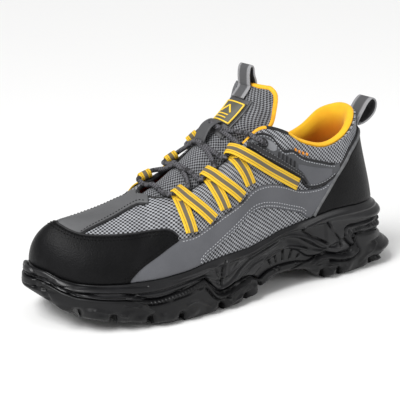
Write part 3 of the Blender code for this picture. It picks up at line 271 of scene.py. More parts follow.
# Lines moulded into the sole's side: height, half width and places (x, z), all in millimetres.
SIDE_LINES = (
    (-1.9, 1.5, ((235, 27.6), (213, 26.7), (205, 26.2), (198, 24.4), (190, 21.2), (182, 20.7),
        (171, 22.3), (159, 25.0), (151, 27.2), (146, 27.5), (143, 24.9), (139, 19.0), (134, 14.6),
        (128, 13.3), (119, 14.6), (107, 17.9), (102, 18.1), (97, 15.6), (95, 11.3))),
    (1.4, 1.8, ((202, 23.5), (196, 21.3), (189, 18.9), (182, 18.6), (171, 19.9), (159, 21.8), (151, 24.0),
        (146, 23.9), (143, 21.3), (139, 15.8), (134, 12.2), (124, 12.0), (115, 14.0), (105, 15.9))),
    (-1.3, 1.2, ((189, 17.2), (182, 16.8), (171, 17.7), (159, 19.3), (151, 21.1), (146, 21.0),
        (143, 18.1), (139, 13.2), (134, 10.4), (124, 9.4))),
    (0.9, 1.4, ((188, 31.1), (178, 31.3), (167, 31.5), (155, 32.7), (144, 33.9), (136, 34.0))),
    (-0.9, 1.6, ((135, 32.3), (134, 27.1), (134, 21.5))),
    (-1.9, 1.3, ((126, 35.4), (129, 28.7), (131, 19.9))),
    (1.5, 1.7, ((132, 17.2), (125, 18.5), (119, 21.2), (112, 26.1), (103, 30.6), (90, 33.2), (75, 37.2),
        (68, 39.6), (59, 39.0), (46, 33.7), (37, 27.4), (28, 23.4), (20, 22.8), (18, 25.5), (22, 33.1),
        (27, 42.6))),
    (-1.1, 1.6, ((129, 14.7), (117, 17.1), (108, 22.2), (100, 26.5), (89, 29.2))),
    (1.4, 1.6, ((93, 22.7), (90, 25.7), (80, 27.8), (72, 30.9), (65, 31.7), (56, 29.3), (48, 26.4))),
    (1.0, 1.4, ((124, 5.0), (115, 7.7), (106, 11.3))),
    (1.0, 1.5, ((161, 12.5), (157, 13.8), (152, 13.4), (147, 10.8), (142, 7.6))),
    (1.1, 1.4, ((205, 18.9), (195, 17.0), (190, 14.2), (186, 11.5))),
    (0.8, 1.4, ((222, 16.5), (213, 14.0), (204, 11.5))),
    (-0.9, 0.9, ((245, 31.6), (235, 31.0), (220, 30.6), (202, 29.7), (188, 29.0))),
    (-1.5, 1.3, ((246, 28.4), (245, 24.8), (244, 21.5))),
    (-1.2, 1.2, ((248, 39.5), (248, 32.8), (249, 27.3))),
    (-2.1, 1.4, ((52, 41.6), (45, 36.4), (35, 30.9), (29, 27.4))),
    (1.0, 1.4, ((50, 42.4), (40, 44.6), (29, 46.6), (15, 47.4), (-10, 46.5), (-45, 45.5))),
    (-2.1, 1.4, ((29, 43.7), (24, 36.7), (18, 28.6), (16, 23.6))),
    (1.6, 1.9, ((7, 33.6), (8, 29.2), (6, 24.0), (1, 18.2), (6, 14.7), (18, 14.6), (27, 17.1), (35, 17.4),
        (43, 15.4))),
    (-2.1, 1.4, ((40, 18.6), (32, 21.1), (26, 19.5), (16, 17.0), (9, 17.3), (6, 20.6), (11, 27.4),
        (13, 34.7), (9, 37.6), (-1, 37.4), (-20, 37.2), (-50, 37.0))),
    (-1.9, 1.4, ((-50, 28.0), (-20, 28.4), (-7, 28.8), (2, 30.2), (4, 27.5), (1, 21.4), (-2, 16.7),
        (3, 12.3), (13, 11.7), (27, 14.4))),
    (1.1, 1.5, ((38, 12.6), (32, 12.5), (24, 10.7), (16, 7.5))),
    (1.0, 1.3, ((-22, 19.0), (-10, 11.8), (-3, 7.1))),
    (-2.1, 1.1, ((83, 24.7), (79, 17.8))),
    (-2.1, 1.1, ((77, 27.1), (75, 17.5))),
    (-2.1, 1.1, ((69, 29.1), (70, 21.0))),
    (-2.1, 1.1, ((61, 27.4), (64, 19.8))),
    (-2.1, 1.1, ((54, 22.9), (59, 17.9))),
    (-1.6, 1.1, ((50, 17.5), (63, 14.8))),
)
# Ribbed stretches: half width, pitch of the ribs, and places.
RIBBED = (
    (2.2, 2.4, ((189, 19.0), (182, 18.6), (171, 19.9), (159, 21.8), (151, 24.0), (146, 23.9))),
    (3.6, 2.1, ((8, 33.0), (0, 33.0), (-20, 32.8), (-50, 32.5))),
)
# Sunk triangles: their corners, and their depth.
FACETS = (
    (((53, 42.5), (29, 26.0), (30, 44.5)), 1.3),
    (((137, 33.0), (126, 36.5), (131, 19.0)), 1.1),
    (((124, 35.0), (110, 36.0), (128, 22.0)), 0.8),
)
# Level lines round the heel and the toe: height, z and half width.
HEEL_LINES = (
    (1.2, 42, 4), (-2.2, 34.5, 2.2), (1.8, 13, 4), (-3.4, 7.4, 2.0), (-2.0, 19.5, 2.0), (2.0, 11, 10),
)
TOE_LINES = ((0.9, 40, 4), (-1.4, 34.5, 1.6), (-1.2, 27.5, 1.5))
TOE_BUMPER = (4.0, 17, 13)
TIP = len(LAST["foot_x"]) - 1
RING = 2 * TIP
TONGUE_TOP = len(TONGUE_ROWS["half"]) - 1


def station_x(share: Any) -> Any:
    """Place along the shoe of a share of its length."""
    return share * LENGTH - HEEL_BACK


def quarter_round(share: Array) -> Array:
    """Height of a quarter circle that rises from nothing at 0 to one at 1."""
    return np.sqrt(1 - (1 - np.clip(share, 0, 1)) ** 2)


def unit(vectors: Array) -> Array:
    """Vectors at length one."""
    return vectors / np.maximum(np.linalg.norm(vectors, axis=-1, keepdims=True), 1e-12)


def catmull(a: Array, b: Array, c: Array, d: Array, t: Array) -> Array:
    """Catmull-Rom curve from b to c, with a before and d after them."""
    return b + 0.5 * t * (c - a + t * (2 * a - 5 * b + 4 * c - d + t * (3 * (b - c) + d - a)))


def round_loop(outer: Array, inner: Array, q: Array) -> Array:
    """Catmull-Rom curve at q through row values out along one side and back along the other.

    Args:
        outer: the rows' values on the outer side.
        inner: their values on the inner side.
        q: stations.

    Returns:
        The values at q.
    """
    values = np.concatenate([outer, inner[-2:0:-1]])
    q = np.asarray(q, float) % len(values)
    first = np.floor(q).astype(int)
    a, b, c, d = (values[(first + k) % len(values)] for k in (-1, 0, 1, 2))
    return catmull(a, b, c, d, q - first)


def smooth_path(points: Any, steps: int) -> Array:
    """Catmull-Rom curve through given points.

    Args:
        points: the points, of any dimension.
        steps: places on the curve from one point to the next.

    Returns:
        The curve's points, the last one included.
    """
    points = np.asarray(points, float)
    ends = np.concatenate([[2 * points[0] - points[1]], points, [2 * points[-1] - points[-2]]])
    t = (np.arange(steps) / steps)[None, :, None]
    a, b, c, d = (ends[k : len(ends) - 3 + k][:, None] for k in range(4))
    curve = catmull(a, b, c, d, t).reshape(-1, points.shape[-1])
    return np.concatenate([curve, points[-1:]])


def row_number(q: Array) -> Array:
    """Row of the tables that q stands on, on either side."""
    return np.abs((np.asarray(q, float) + TIP) % RING - TIP)


def across(q: Any) -> Any:
    """The station on the inner side that faces one on the outer side."""
    return RING - q


def feather_line(q: Array) -> tuple[Array, Array]:
    """Where the upper meets the sole, in plan."""
    x = station_x(round_loop(LAST["foot_x"], LAST["foot_x"], q))
    return x, round_loop(LAST["foot_out"], -LAST["foot_in"], q) * LAST_HALF


def rib(q: Array, v: Array) -> Array:
    """Point of the last's outside, on a cubic Bezier rib from the feather line to the top.

    With u = 1 - v it is u^3 foot + 3 u^2 v low + 3 u v^2 high + v^3 top.

    Args:
        q: stations.
        v: shares of the rib.

    Returns:
        The points.
    """
    q, v = np.broadcast_arrays(np.asarray(q, float), np.asarray(v, float))
    names = ("top_x", "bed", "wall", "belly", "reach", "drop")
    both = {name: round_loop(LAST[name], LAST[name], q) for name in names}
    foot_x, foot_y = feather_line(q)
    foot_z = both["bed"] * BED
    top_x = station_x(both["top_x"])
    top_y = round_loop(LAST["top_out"], -LAST["top_in"], q) * LAST_HALF
    top_y = np.where(row_number(q) >= THROAT_ROW, 0.0, top_y)
    top_z = round_loop(LAST["rise_out"], LAST["rise_in"], q) * INSTEP
    rise = top_z - foot_z
    run_x, run_y = (b - a for a, b in zip(feather_line(q - 0.001), feather_line(q + 0.001)))
    out = both["belly"] * LAST_HALF / np.hypot(run_x, run_y)
    reach = both["reach"]
    foot = np.stack([foot_x, foot_y, foot_z], -1)
    low = np.stack([foot_x - run_y * out, foot_y + run_x * out, foot_z + both["wall"] * rise], -1)
    high_x, high_y = top_x + (foot_x - top_x) * reach, top_y + (foot_y - top_y) * reach
    high = np.stack([high_x, high_y, top_z - both["drop"] * rise], -1)
    top = np.stack([top_x, top_y, top_z], -1)
    v = v[..., None]
    u = 1 - v
    return u**3 * foot + 3 * u**2 * v * low + 3 * u * v**2 * high + v**3 * top


def skin_normal(q: Array, v: Array) -> Array:
    """Direction away from the last's outside.

    Args:
        q: stations.
        v: shares of the rib.

    Returns:
        Unit vectors.
    """
    inside = np.clip(v, 0.001, 0.97)
    along = rib(q + 0.01, inside) - rib(q - 0.01, inside)
    up = rib(q, inside + 0.005) - rib(q, inside - 0.005)
    return unit(np.cross(up, along))


def skin(q: Array, v: Array, out: Any = 0.0) -> Array:
    """Point at the distance out from the last's outside."""
    q, v = np.broadcast_arrays(np.asarray(q, float), np.asarray(v, float))
    return rib(q, v) + np.asarray(out, float)[..., None] * skin_normal(q, v)


def share_at_height(q: Array, z: Array) -> Array:
    """Share of the rib at which it reaches the height z, found by halving.

    Args:
        q: stations.
        z: heights.

    Returns:
        The shares.
    """
    low, high = np.zeros_like(q), np.full_like(q, 0.9)
    for _ in range(24):
        middle = (low + high) / 2
        above = rib(q, middle)[..., 2] > z
        low, high = np.where(above, low, middle), np.where(above, middle, high)
    return (low + high) / 2


def side_value(name: str, q: Array) -> Array:
    """One line of the sole's side at q."""
    return np.interp(round_loop(PLAN["x"], PLAN["x"], q), SIDE["x"], SIDE[name])


def smooth_side_value(name: str, q: Array) -> Array:
    """One line of the sole's side at q, with its corners rounded over a few millimetres of the shoe.

    Args:
        name: the line's column.
        q: stations.

    Returns:
        The values at q.
    """
    spread = np.array((-0.10, -0.05, 0.0, 0.05, 0.10))
    weight = np.array((1.0, 2.0, 3.0, 2.0, 1.0)) / 9.0
    return sum(side_value(name, q + d) * w for d, w in zip(spread, weight))


def sole_point(q: Array, z: Any, out: Any) -> Array:
    """Point beside the sole's plan curve, at the distance out from it and the height z.

    Args:
        q: stations.
        z: heights.
        out: distances out from the curve.

    Returns:
        The points.
    """
    q = np.asarray(q, float)

    def plan(at: Array) -> Array:
        """The plan curve at a station."""
        x = station_x(round_loop(PLAN["x"], PLAN["x"], at))
        return np.stack([x, round_loop(PLAN["out"], -PLAN["in"], at) * BALL_HALF], -1)

    run = unit(plan(q + 0.02) - plan(q - 0.02))
    out = np.broadcast_to(np.asarray(out, float), q.shape)[..., None]
    place = plan(q) + out * np.stack([-run[..., 1], run[..., 0]], -1)
    return np.concatenate([place, np.broadcast_to(z, q.shape)[..., None]], -1)


def tongue_point(row: Array, t: Array, out: Any = 0.0) -> Array:
    """Point of the tongue's outer face: a parabola from edge to edge on each row, smooth along the rows.

    Args:
        row: rows from the vamp up.
        t: places from edge to edge, -1 to 1.
        out: distances off the face.

    Returns:
        The points.
    """
    row, t = np.broadcast_arrays(np.asarray(row, float), np.asarray(t, float))

    def face(at: Array, t: Array) -> Array:
        """The face itself, with its rows joined by a Catmull-Rom curve.

        Args:
            at: rows.
            t: places from edge to edge.

        Returns:
            The points.
        """
        first = np.clip(np.floor(at).astype(int), 0, TONGUE_TOP - 1)
        part = at - first
        found = []
        for name in TONGUE_ROWS:
            ends = TONGUE_ROWS[name]
            ends = np.concatenate([[2 * ends[0] - ends[1]], ends, [2 * ends[-1] - ends[-2]]])
            found.append(catmull(*(ends[first + k] for k in range(4)), part))
        mid_x, mid_z, edge_x, edge_z, half = found
        bend = t**2
        x = station_x(mid_x + (edge_x - mid_x) * bend)
        return np.stack([x, t * half * LAST_HALF, (mid_z + (edge_z - mid_z) * bend) * INSTEP], -1)

    t = np.where(t < 0, t * (1 - 0.32 * np.clip((row - 5.5) / 2.5, 0, 1)), t)
    inner = np.clip(row, 0.2, TONGUE_TOP - 0.2)
    up = face(inner + 0.2, t) - face(inner - 0.2, t)
    side = face(row, t + 0.01) - face(row, t - 0.01)
    return face(row, t) + np.asarray(out, float)[..., None] * unit(np.cross(side, up))


class Side(Enum):
    """The shoe's two sides."""

    LATERAL = 1
    MEDIAL = -1

    @property
    def word(self) -> str:
        """The side's name in the names of pieces."""
        return self.name.lower()

    def station(self, q: Any) -> Any:
        """The station on this side with the given row number."""
        return q if self is Side.LATERAL else across(q)


class Sock:
    """A shader socket that takes part in arithmetic: each operator adds a Math node."""

    def __init__(self, paint: "Paint", socket: Any) -> None:
        """Wraps the socket of a node of this paint."""
        self.paint = paint
        self.socket = socket

    def _math(self, operation: str, *others: Any) -> "Sock":
        """Result of a Math node on this value and others."""
        return self.paint.node("ShaderNodeMath", {"operation": operation}, (self, *others))

    def __add__(self, other: Any) -> "Sock":
        """Sum."""
        return self._math("ADD", other)

    def __sub__(self, other: Any) -> "Sock":
        """Difference."""
        return self._math("SUBTRACT", other)

    def __mul__(self, other: Any) -> "Sock":
        """Product."""
        return self._math("MULTIPLY", other)

    def __abs__(self) -> "Sock":
        """Absolute value."""
        return self._math("ABSOLUTE")

    def sin(self) -> "Sock":
        """Sine."""
        return self._math("SINE")

    def largest(self, other: Any) -> "Sock":
        """Larger of two values."""
        return self._math("MAXIMUM", other)

    def ramp(self, low: float, high: float) -> "Sock":
        """Value taken from low..high to 0..1 in a smooth step."""
        settings = {"interpolation_type": "SMOOTHSTEP"}
        return self.paint.node("ShaderNodeMapRange", settings, (self, low, high, 0.0, 1.0))


class Paint:
    """A material with a Principled shader, and one method that adds any other node."""

    def __init__(self, name: str) -> None:
        """Starts the material of this name.

        Args:
            name: the material's name.
        """
        self.material = bpy.data.materials.new(name)
        self.material.use_nodes = True
        self.tree = self.material.node_tree
        self.shader = self.tree.nodes["Principled BSDF"]

    def node(self, kind: str, settings: dict[str, Any], inputs: Any = (), output: Any = 0) -> Sock:
        """Adds a node.

        Args:
            kind: the node's type.
            settings: its properties, set before its sockets.
            inputs: values or links of its sockets, in order or by name.
            output: name or number of the socket that is returned.

        Returns:
            The wrapped output.
        """
        made = self.tree.nodes.new(kind)
        for name, value in settings.items():
            setattr(made, name, value)
        pairs = inputs.items() if isinstance(inputs, dict) else enumerate(inputs)
        for key, value in pairs:
            self.feed(made.inputs[key], value)
        return Sock(self, made.outputs[output])

    def feed(self, socket: Any, value: Any) -> None:
        """Links a socket, or sets its value.

        Args:
            socket: the socket.
            value: a wrapped socket, colour or number.
        """
        if isinstance(value, Sock):
            self.tree.links.new(value.socket, socket)
        elif isinstance(value, tuple) and len(value) == 3 and socket.type == "RGBA":
            socket.default_value = (*value, 1.0)
        else:
            socket.default_value = value

    def place(self) -> Sock:
        """Object coordinates."""
        return self.node("ShaderNodeTexCoord", {}, (), "Object")

    def surface_mm(self) -> tuple[Sock, Sock]:
        """The piece's own UV map, which is in millimetres along its surface.

        Returns:
            The map's two values.
        """
        uv = self.node("ShaderNodeUVMap", {"uv_map": "surface"})
        split = self.tree.nodes.new("ShaderNodeSeparateXYZ")
        self.tree.links.new(uv.socket, split.inputs[0])
        return Sock(self, split.outputs[0]), Sock(self, split.outputs[1])

    def noise(self, scale: float, detail: float = 3.0) -> Sock:
        """Noise on object coordinates, with this many cells to the metre."""
        inputs = {"Vector": self.place(), "Scale": scale, "Detail": detail, "Roughness": 0.55}
        return self.node("ShaderNodeTexNoise", {}, inputs)

    def mix(self, share: Any, first: Any, second: Any) -> Sock:
        """Mix of two colours.

        Args:
            share: share of the second colour.
            first: first colour.
            second: second colour.

        Returns:
            The mixed colour.
        """
        made = self.tree.nodes.new("ShaderNodeMix")
        made.data_type = "RGBA"
        self.feed(made.inputs[0], share)
        self.feed(made.inputs[6], first)
        self.feed(made.inputs[7], second)
        return Sock(self, made.outputs[2])

    def bump(self, height: Sock, distance: float, strength: float) -> Sock:
        """Normal bent by a height, over the distance in metres."""
        inputs = {"Height": height, "Distance": distance, "Strength": strength}
        return self.node("ShaderNodeBump", {}, inputs)

    def set(self, **values: Any) -> None:
        """Sets or links the shader's own sockets."""
        for name, value in values.items():
            self.feed(self.shader.inputs[name.replace("_", " ")], value)


@dataclass(frozen=True)
class Finish:
    """A finish: its colour, roughness and the way its material is made."""

    name: str
    colour: Triple
    second: Triple = (0.0, 0.0, 0.0)
    roughness: float = 0.6
    specular: float = 0.5

    def build(self) -> bpy.types.Material:
        """The finish's material, made once.

        Returns:
            The material.
        """
        made = bpy.data.materials.get(self.name)
        if made is None:
            paint = Paint(self.name)
            paint.set(Specular_IOR_Level=self.specular)
            self.dress(paint)
            made = paint.material
        return made

    def dress(self, paint: Paint) -> None:
        """Adds the finish's nodes: fine mottling and a faint bump.

        Args:
            paint: the material.
        """
        mottle = paint.noise(260.0)
        paint.set(Base_Color=paint.mix(mottle.ramp(0.3, 0.7), self.colour, self.second))
        paint.set(Roughness=self.roughness, Normal=paint.bump(mottle, 0.0002, 0.3))


@dataclass(frozen=True)
class MeshCloth(Finish):
    """Knitted mesh: light threads in rows, with dark holes between them."""

    pitch: float = 2.7
    hole: Triple = (0.02, 0.02, 0.022)

    def dress(self, paint: Paint) -> None:
        """Holes where two waves over the surface, along it and up it, have one sign.

        Args:
            paint: the material.
        """
        along, up = paint.surface_mm()
        turn = 2 * math.pi / self.pitch
        holes = (along * (turn * 0.88)).sin() * (up * turn).sin()
        threads = holes.ramp(0.32, -0.18)
        shade = paint.noise(140.0, 2.0)
        light = paint.mix(shade.ramp(0.25, 0.75), self.colour, self.second)
        paint.set(Base_Color=paint.mix(threads, self.hole, light))
        paint.set(Roughness=self.roughness)
        paint.set(Normal=paint.bump(threads, 0.0006, 0.9))


@dataclass(frozen=True)
class Microfibre(Finish):
    """Smooth coated microfibre: a faint leather grain and soft wear."""

    grain: float = 900.0
    depth: float = 0.00012

    def dress(self, paint: Paint) -> None:
        """Cells of a Voronoi texture as grain, and slow noise as mottling.

        Args:
            paint: the material.
        """
        inputs = {"Vector": paint.place(), "Scale": self.grain}
        cells = paint.node("ShaderNodeTexVoronoi", {"feature": "F1"}, inputs)
        slow = paint.noise(45.0, 4.0)
        fine = paint.noise(self.grain * 2.0, 2.0)
        paint.set(Base_Color=paint.mix(slow.ramp(0.3, 0.72), self.colour, self.second))
        rough = slow * 0.12 + (self.roughness - 0.06)
        paint.set(Roughness=rough)
        paint.set(Normal=paint.bump(cells + fine * 0.4, self.depth, 0.7))


@dataclass(frozen=True)
class SoleStuff(Finish):
    """Moulded rubber or foam with a fine speckle."""

    speckle: float = 1600.0

    def dress(self, paint: Paint) -> None:
        """Speckled bump, and slow changes of tone and gloss.

        Args:
            paint: the material.
        """
        fine = paint.noise(self.speckle, 2.0)
        slow = paint.noise(38.0, 4.0)
        paint.set(Base_Color=paint.mix(slow.ramp(0.35, 0.75), self.colour, self.second))
        paint.set(Roughness=slow * 0.2 + (self.roughness - 0.1))
        paint.set(Normal=paint.bump(fine, 0.00010, 0.5))


@dataclass(frozen=True)
class StripedWeb(Finish):
    """Woven webbing with a middle stripe and a thin line in each border, across its own width."""

    middle: float = 0.16
    line: float = 0.31
    line_width: float = 0.022
    line_colour: Triple = (0.30, 0.10, 0.01)

    def dress(self, paint: Paint) -> None:
        """Stripes on the distance from the middle of the band, and ribs along and across it.

        Args:
            paint: the material.
        """
        along, side = paint.surface_mm()
        share = abs(side)
        stripe = share.ramp(self.middle + 0.02, self.middle - 0.02)
        off = abs(share - self.line)
        line = off.ramp(self.line_width + 0.012, self.line_width - 0.008)
        colour = paint.mix(stripe, self.colour, self.second)
        colour = paint.mix(line * 0.85, colour, self.line_colour)
        ribs = (side * 95.0).sin() * 0.5 + 0.5
        weft = (along * 7.5).sin() * 0.5 + 0.5
        shade = paint.noise(700.0, 2.0)
        colour = paint.mix((ribs * weft) * 0.18 + shade * 0.10, colour, self.line_colour)
        paint.set(Base_Color=colour, Roughness=self.roughness)
        paint.set(Normal=paint.bump(ribs * 0.6 + weft * 0.5 - line, 0.0003, 0.7))


@dataclass(frozen=True)
class BraidedCord(Finish):
    """Round braided cord with flecks."""

    def dress(self, paint: Paint) -> None:
        """Two crossing spirals round the cord, with a dark fleck here and there.

        Args:
            paint: the material.
        """
        along, turn = paint.surface_mm()
        first = (along * 3.4 + turn * 12.566).sin()
        second = (along * 3.4 - turn * 12.566).sin()
        braid = first.largest(second)
        fleck = paint.noise(330.0, 1.0).ramp(0.54, 0.60)
        colour = paint.mix(braid.ramp(-0.4, 0.9), self.second, self.colour)
        paint.set(Base_Color=paint.mix(fleck * 0.85, colour, (0.008, 0.008, 0.009)))
        paint.set(Roughness=self.roughness, Normal=paint.bump(braid, 0.0004, 0.8))


@dataclass(frozen=True)
class LiningCloth(Finish):
    """Brushed lining cloth that grows redder down inside the shoe, with painted shade that darkens it there.
    """

    # Orange: partly the cloth's own redder tone, partly painted shade.
    orange: Triple = (0.88, 0.28, 0.003)
    # Painted shade, nearly black, far down inside the shoe.
    deep_painted_shade: Triple = (0.20, 0.022, 0.001)

    def dress(self, paint: Paint) -> None:
        """Fine cross weave, slow noise, and the change of colour with the depth below the edge: a redder tone
        that is partly painted shade, then painted shade far down inside the shoe.

        Args:
            paint: the material.
        """
        along, depth = paint.surface_mm()
        weave = (along * 5.2).sin() * (depth * 5.2).sin()
        slow = paint.noise(60.0, 4.0)
        colour = paint.mix(slow.ramp(0.3, 0.75), self.colour, self.second)
        # Partly painted shade: darker orange from 6 to 24 mm below the edge.
        colour = paint.mix(depth.ramp(6.0, 24.0), colour, self.orange)
        # Painted shade: nearly black from 24 to 46 mm below the edge.
        paint.set(Base_Color=paint.mix(depth.ramp(24.0, 46.0), colour, self.deep_painted_shade))
        paint.set(Roughness=self.roughness, Sheen_Weight=0.05, Sheen_Roughness=0.5)
        paint.set(Normal=paint.bump(weave * 0.5 + slow, 0.0003, 0.6))


MESH = MeshCloth("mesh_cloth", (0.29, 0.297, 0.318), (0.38, 0.389, 0.412), 0.85, pitch=2.9)
TONGUE_MESH = MeshCloth("tongue_mesh_cloth", (0.19, 0.194, 0.207), (0.25, 0.255, 0.271), 0.88, pitch=2.6)
CAP = Microfibre(
    "toe_cap_microfibre", (0.003, 0.003, 0.0033), (0.006, 0.006, 0.0066), 0.42, 0.11,
    grain=1100.0, depth=0.0002,
)
PANEL = Microfibre("panel_microfibre", (0.080, 0.082, 0.091), (0.098, 0.100, 0.110), 0.58, 0.35)
STRIP = Microfibre("vamp_microfibre", (0.086, 0.087, 0.090), (0.106, 0.107, 0.111), 0.58, 0.35)
BAND = Microfibre("quarter_band_film", (0.013, 0.013, 0.0145), (0.020, 0.020, 0.022), 0.5, 0.3)
QUARTER_FILM = Microfibre("quarter_film", (0.048, 0.050, 0.055), (0.062, 0.064, 0.070), 0.52, 0.4)
INSERT_FILM = Microfibre("insert_film", (0.165, 0.170, 0.182), (0.200, 0.205, 0.218), 0.45, 0.4)
PIPING = Finish("piping_cord", (0.075, 0.077, 0.081), (0.12, 0.122, 0.126), 0.6)
DARK_PIPING = Finish("dark_piping", (0.010, 0.010, 0.011), (0.018, 0.018, 0.019), 0.6, 0.3)
YELLOW_EDGE = Finish("yellow_binding", (0.92, 0.48, 0.015), (0.86, 0.40, 0.012), 0.7)
LIGHT_THREAD = Finish("light_thread", (0.33, 0.34, 0.36), (0.42, 0.43, 0.45), 0.7)
DARK_THREAD = Finish("dark_thread", (0.002, 0.002, 0.002), (0.005, 0.005, 0.005), 0.7, 0.1)
GREY_THREAD = Finish("grey_thread", (0.10, 0.102, 0.108), (0.16, 0.163, 0.17), 0.7)
RUBBER = SoleStuff("outsole_rubber", (0.005, 0.005, 0.0055), (0.009, 0.009, 0.0098), 0.38, 0.22)
FOAM = SoleStuff("midsole_foam", (0.0075, 0.0075, 0.0083), (0.014, 0.014, 0.0152), 0.35, 0.30)
LOOP_WEB = StripedWeb("loop_webbing", (0.84, 0.54, 0.02), (0.115, 0.108, 0.075), 0.7)
PULL_WEB = StripedWeb(
    "pull_webbing", (0.30, 0.30, 0.31), (0.080, 0.080, 0.084), 0.75, middle=0.28, line=0.31,
    line_width=0.012, line_colour=(0.03, 0.03, 0.032),
)
LACE = BraidedCord("lace_cord", (0.105, 0.103, 0.115), (0.035, 0.034, 0.038), 0.7)
# The collar's cloth, with painted shade that darkens it below the edge.
LINING_YELLOW = LiningCloth("collar_cloth", (0.95, 0.53, 0.012), (0.92, 0.45, 0.010), 0.85)
# The insole's cloth takes the same painted shade, by millimetres across its own map.
INSOLE_CLOTH = LiningCloth("insole_cloth", (0.45, 0.10, 0.010), (0.32, 0.07, 0.010), 0.9)
BADGE_FILM = Microfibre("badge_film", (0.070, 0.068, 0.050), (0.090, 0.088, 0.066), 0.5, 0.4)
BADGE_EDGE = Microfibre("tongue_strip_film", (0.055, 0.055, 0.058), (0.070, 0.070, 0.073), 0.55, 0.4)
YELLOW_FILM = Finish("yellow_film", (0.93, 0.62, 0.04), (0.88, 0.56, 0.03), 0.45)
ORANGE_FILM = Finish("orange_film", (0.72, 0.27, 0.015), (0.64, 0.22, 0.015), 0.5)
# Painted shade: near-black sheet for the inner faces of the pull loops.
LOOP_INSIDE_SHADE = Finish("loop_inside_shade", (0.020, 0.020, 0.022), (0.035, 0.035, 0.038), 0.85)


def arc_lengths(points: Array, axis: int) -> Array:
    """Length in millimetres along one direction of a grid, from its first line.

    Args:
        points: points of the grid.
        axis: the direction.

    Returns:
        The lengths at every point.
    """
    steps = np.linalg.norm(np.diff(points, axis=axis), axis=-1)
    start = np.zeros_like(np.take(steps, [0], axis=axis))
    return np.concatenate([start, np.cumsum(steps, axis=axis)], axis=axis) / MM


def surface_map(points: Array) -> Array:
    """Millimetres along both directions of an open grid, as a map for patterns that follow it."""
    along = arc_lengths(points, 0).mean(axis=1, keepdims=True) + 0 * points[..., 0]
    return np.stack([along, arc_lengths(points, 1)], -1)


def folded(outer: Array, inner: Array) -> tuple[Array, Array]:
    """Closed section of an outer and an inner face, and a map in millimetres along the outer one."""
    flat = surface_map(outer)
    return np.concatenate([outer, inner[:, ::-1]], 1), np.concatenate([flat, flat[:, ::-1], flat[:, :1]], 1)


def link(name: str, data: Any) -> bpy.types.Object:
    """New object of a mesh, light or camera, in the scene.

    Args:
        name: its name.
        data: the mesh, light or camera.

    Returns:
        The object.
    """
    made = bpy.data.objects.new(name, data)
    bpy.context.scene.collection.objects.link(made)
    return made


def add_surface(
    name: str,
    points: Array,
    finish: Finish,
    wrap: tuple[bool, bool] = (False, False),
    uv: Array | None = None,
    merge: bool = True,
) -> bpy.types.Object:
    """Mesh object of a grid of points.

    Args:
        name: the piece's name.
        points: rows, columns and the three coordinates.
        finish: the piece's finish.
        wrap: whether rows, and columns, join end to end.
        uv: map with one more row or column where they join, or None for millimetres along the surface.
        merge: whether doubled points are merged and faces turned outwards.

    Returns:
        The object, linked to the scene.
    """
    rows, columns = points.shape[:2]
    closed = points
    if wrap[0]:
        closed = np.concatenate([closed, closed[:1]], 0)
    if wrap[1]:
        closed = np.concatenate([closed, closed[:, :1]], 1)
    uv = surface_map(closed) if uv is None else uv
    i, j = np.meshgrid(np.arange(closed.shape[0] - 1), np.arange(closed.shape[1] - 1), indexing="ij")
    corners = [(i, j), (i, j + 1), (i + 1, j + 1), (i + 1, j)]
    index = np.stack([(a % rows) * columns + b % columns for a, b in corners], -1).reshape(-1)
    maps = np.stack([uv[a, b] for a, b in corners], 2).reshape(-1, 2)
    mesh = bpy.data.meshes.new(name)
    mesh.vertices.add(rows * columns)
    mesh.vertices.foreach_set("co", points.reshape(-1))
    count = len(index) // 4
    mesh.loops.add(len(index))
    mesh.loops.foreach_set("vertex_index", index)
    mesh.polygons.add(count)
    mesh.polygons.foreach_set("loop_start", np.arange(count) * 4)
    mesh.polygons.foreach_set("loop_total", np.full(count, 4))
    mesh.update(calc_edges=True)
    layer = mesh.uv_layers.new(name="surface")
    layer.data.foreach_set("uv", maps.reshape(-1))
    if merge:
        merge_doubles(mesh)
    mesh.shade_smooth()
    mesh.materials.append(finish.build())
    return link(name, mesh)


def merge_doubles(mesh: bpy.types.Mesh) -> None:
    """Merges a mesh's doubled points and turns its faces outwards.

    Args:
        mesh: the mesh.
    """
    shape = bmesh.new()
    shape.from_mesh(mesh)
    write_merged(shape, mesh)


def write_merged(shape: bmesh.types.BMesh, mesh: bpy.types.Mesh) -> None:
    """Writes a shape to a mesh with its doubled points merged and its faces turned outwards.

    Args:
        shape: the shape, which is freed.
        mesh: the mesh.
    """
    bmesh.ops.remove_doubles(shape, verts=shape.verts, dist=MERGE)
    bmesh.ops.recalc_face_normals(shape, faces=shape.faces)
    shape.to_mesh(mesh)
    shape.free()


def on_shoe(piece: bpy.types.Object, slot: str, *nodes: str) -> bpy.types.Object:
    """Makes a piece part of the shoe, and hides the solids that it stands for.

    Args:
        piece: the piece.
        slot: its slot; not used.
        *nodes: the solids that it stands for.

    Returns:
        The piece.
    """
    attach(piece, "root")
    if nodes:
        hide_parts(*nodes)
    log.info("%s: %d faces", piece.name, len(piece.data.polygons))
    return piece


def frames_along(path: Array, hint: Array) -> tuple[Array, Array]:
    """Directions across and off a path, the second one near the hint.

    Args:
        path: the path's points.
        hint: directions off the path, roughly.

    Returns:
        Unit vectors across and off.
    """
    run = unit(np.gradient(path, axis=0))
    side = unit(np.cross(run, hint))
    return side, np.cross(side, run)


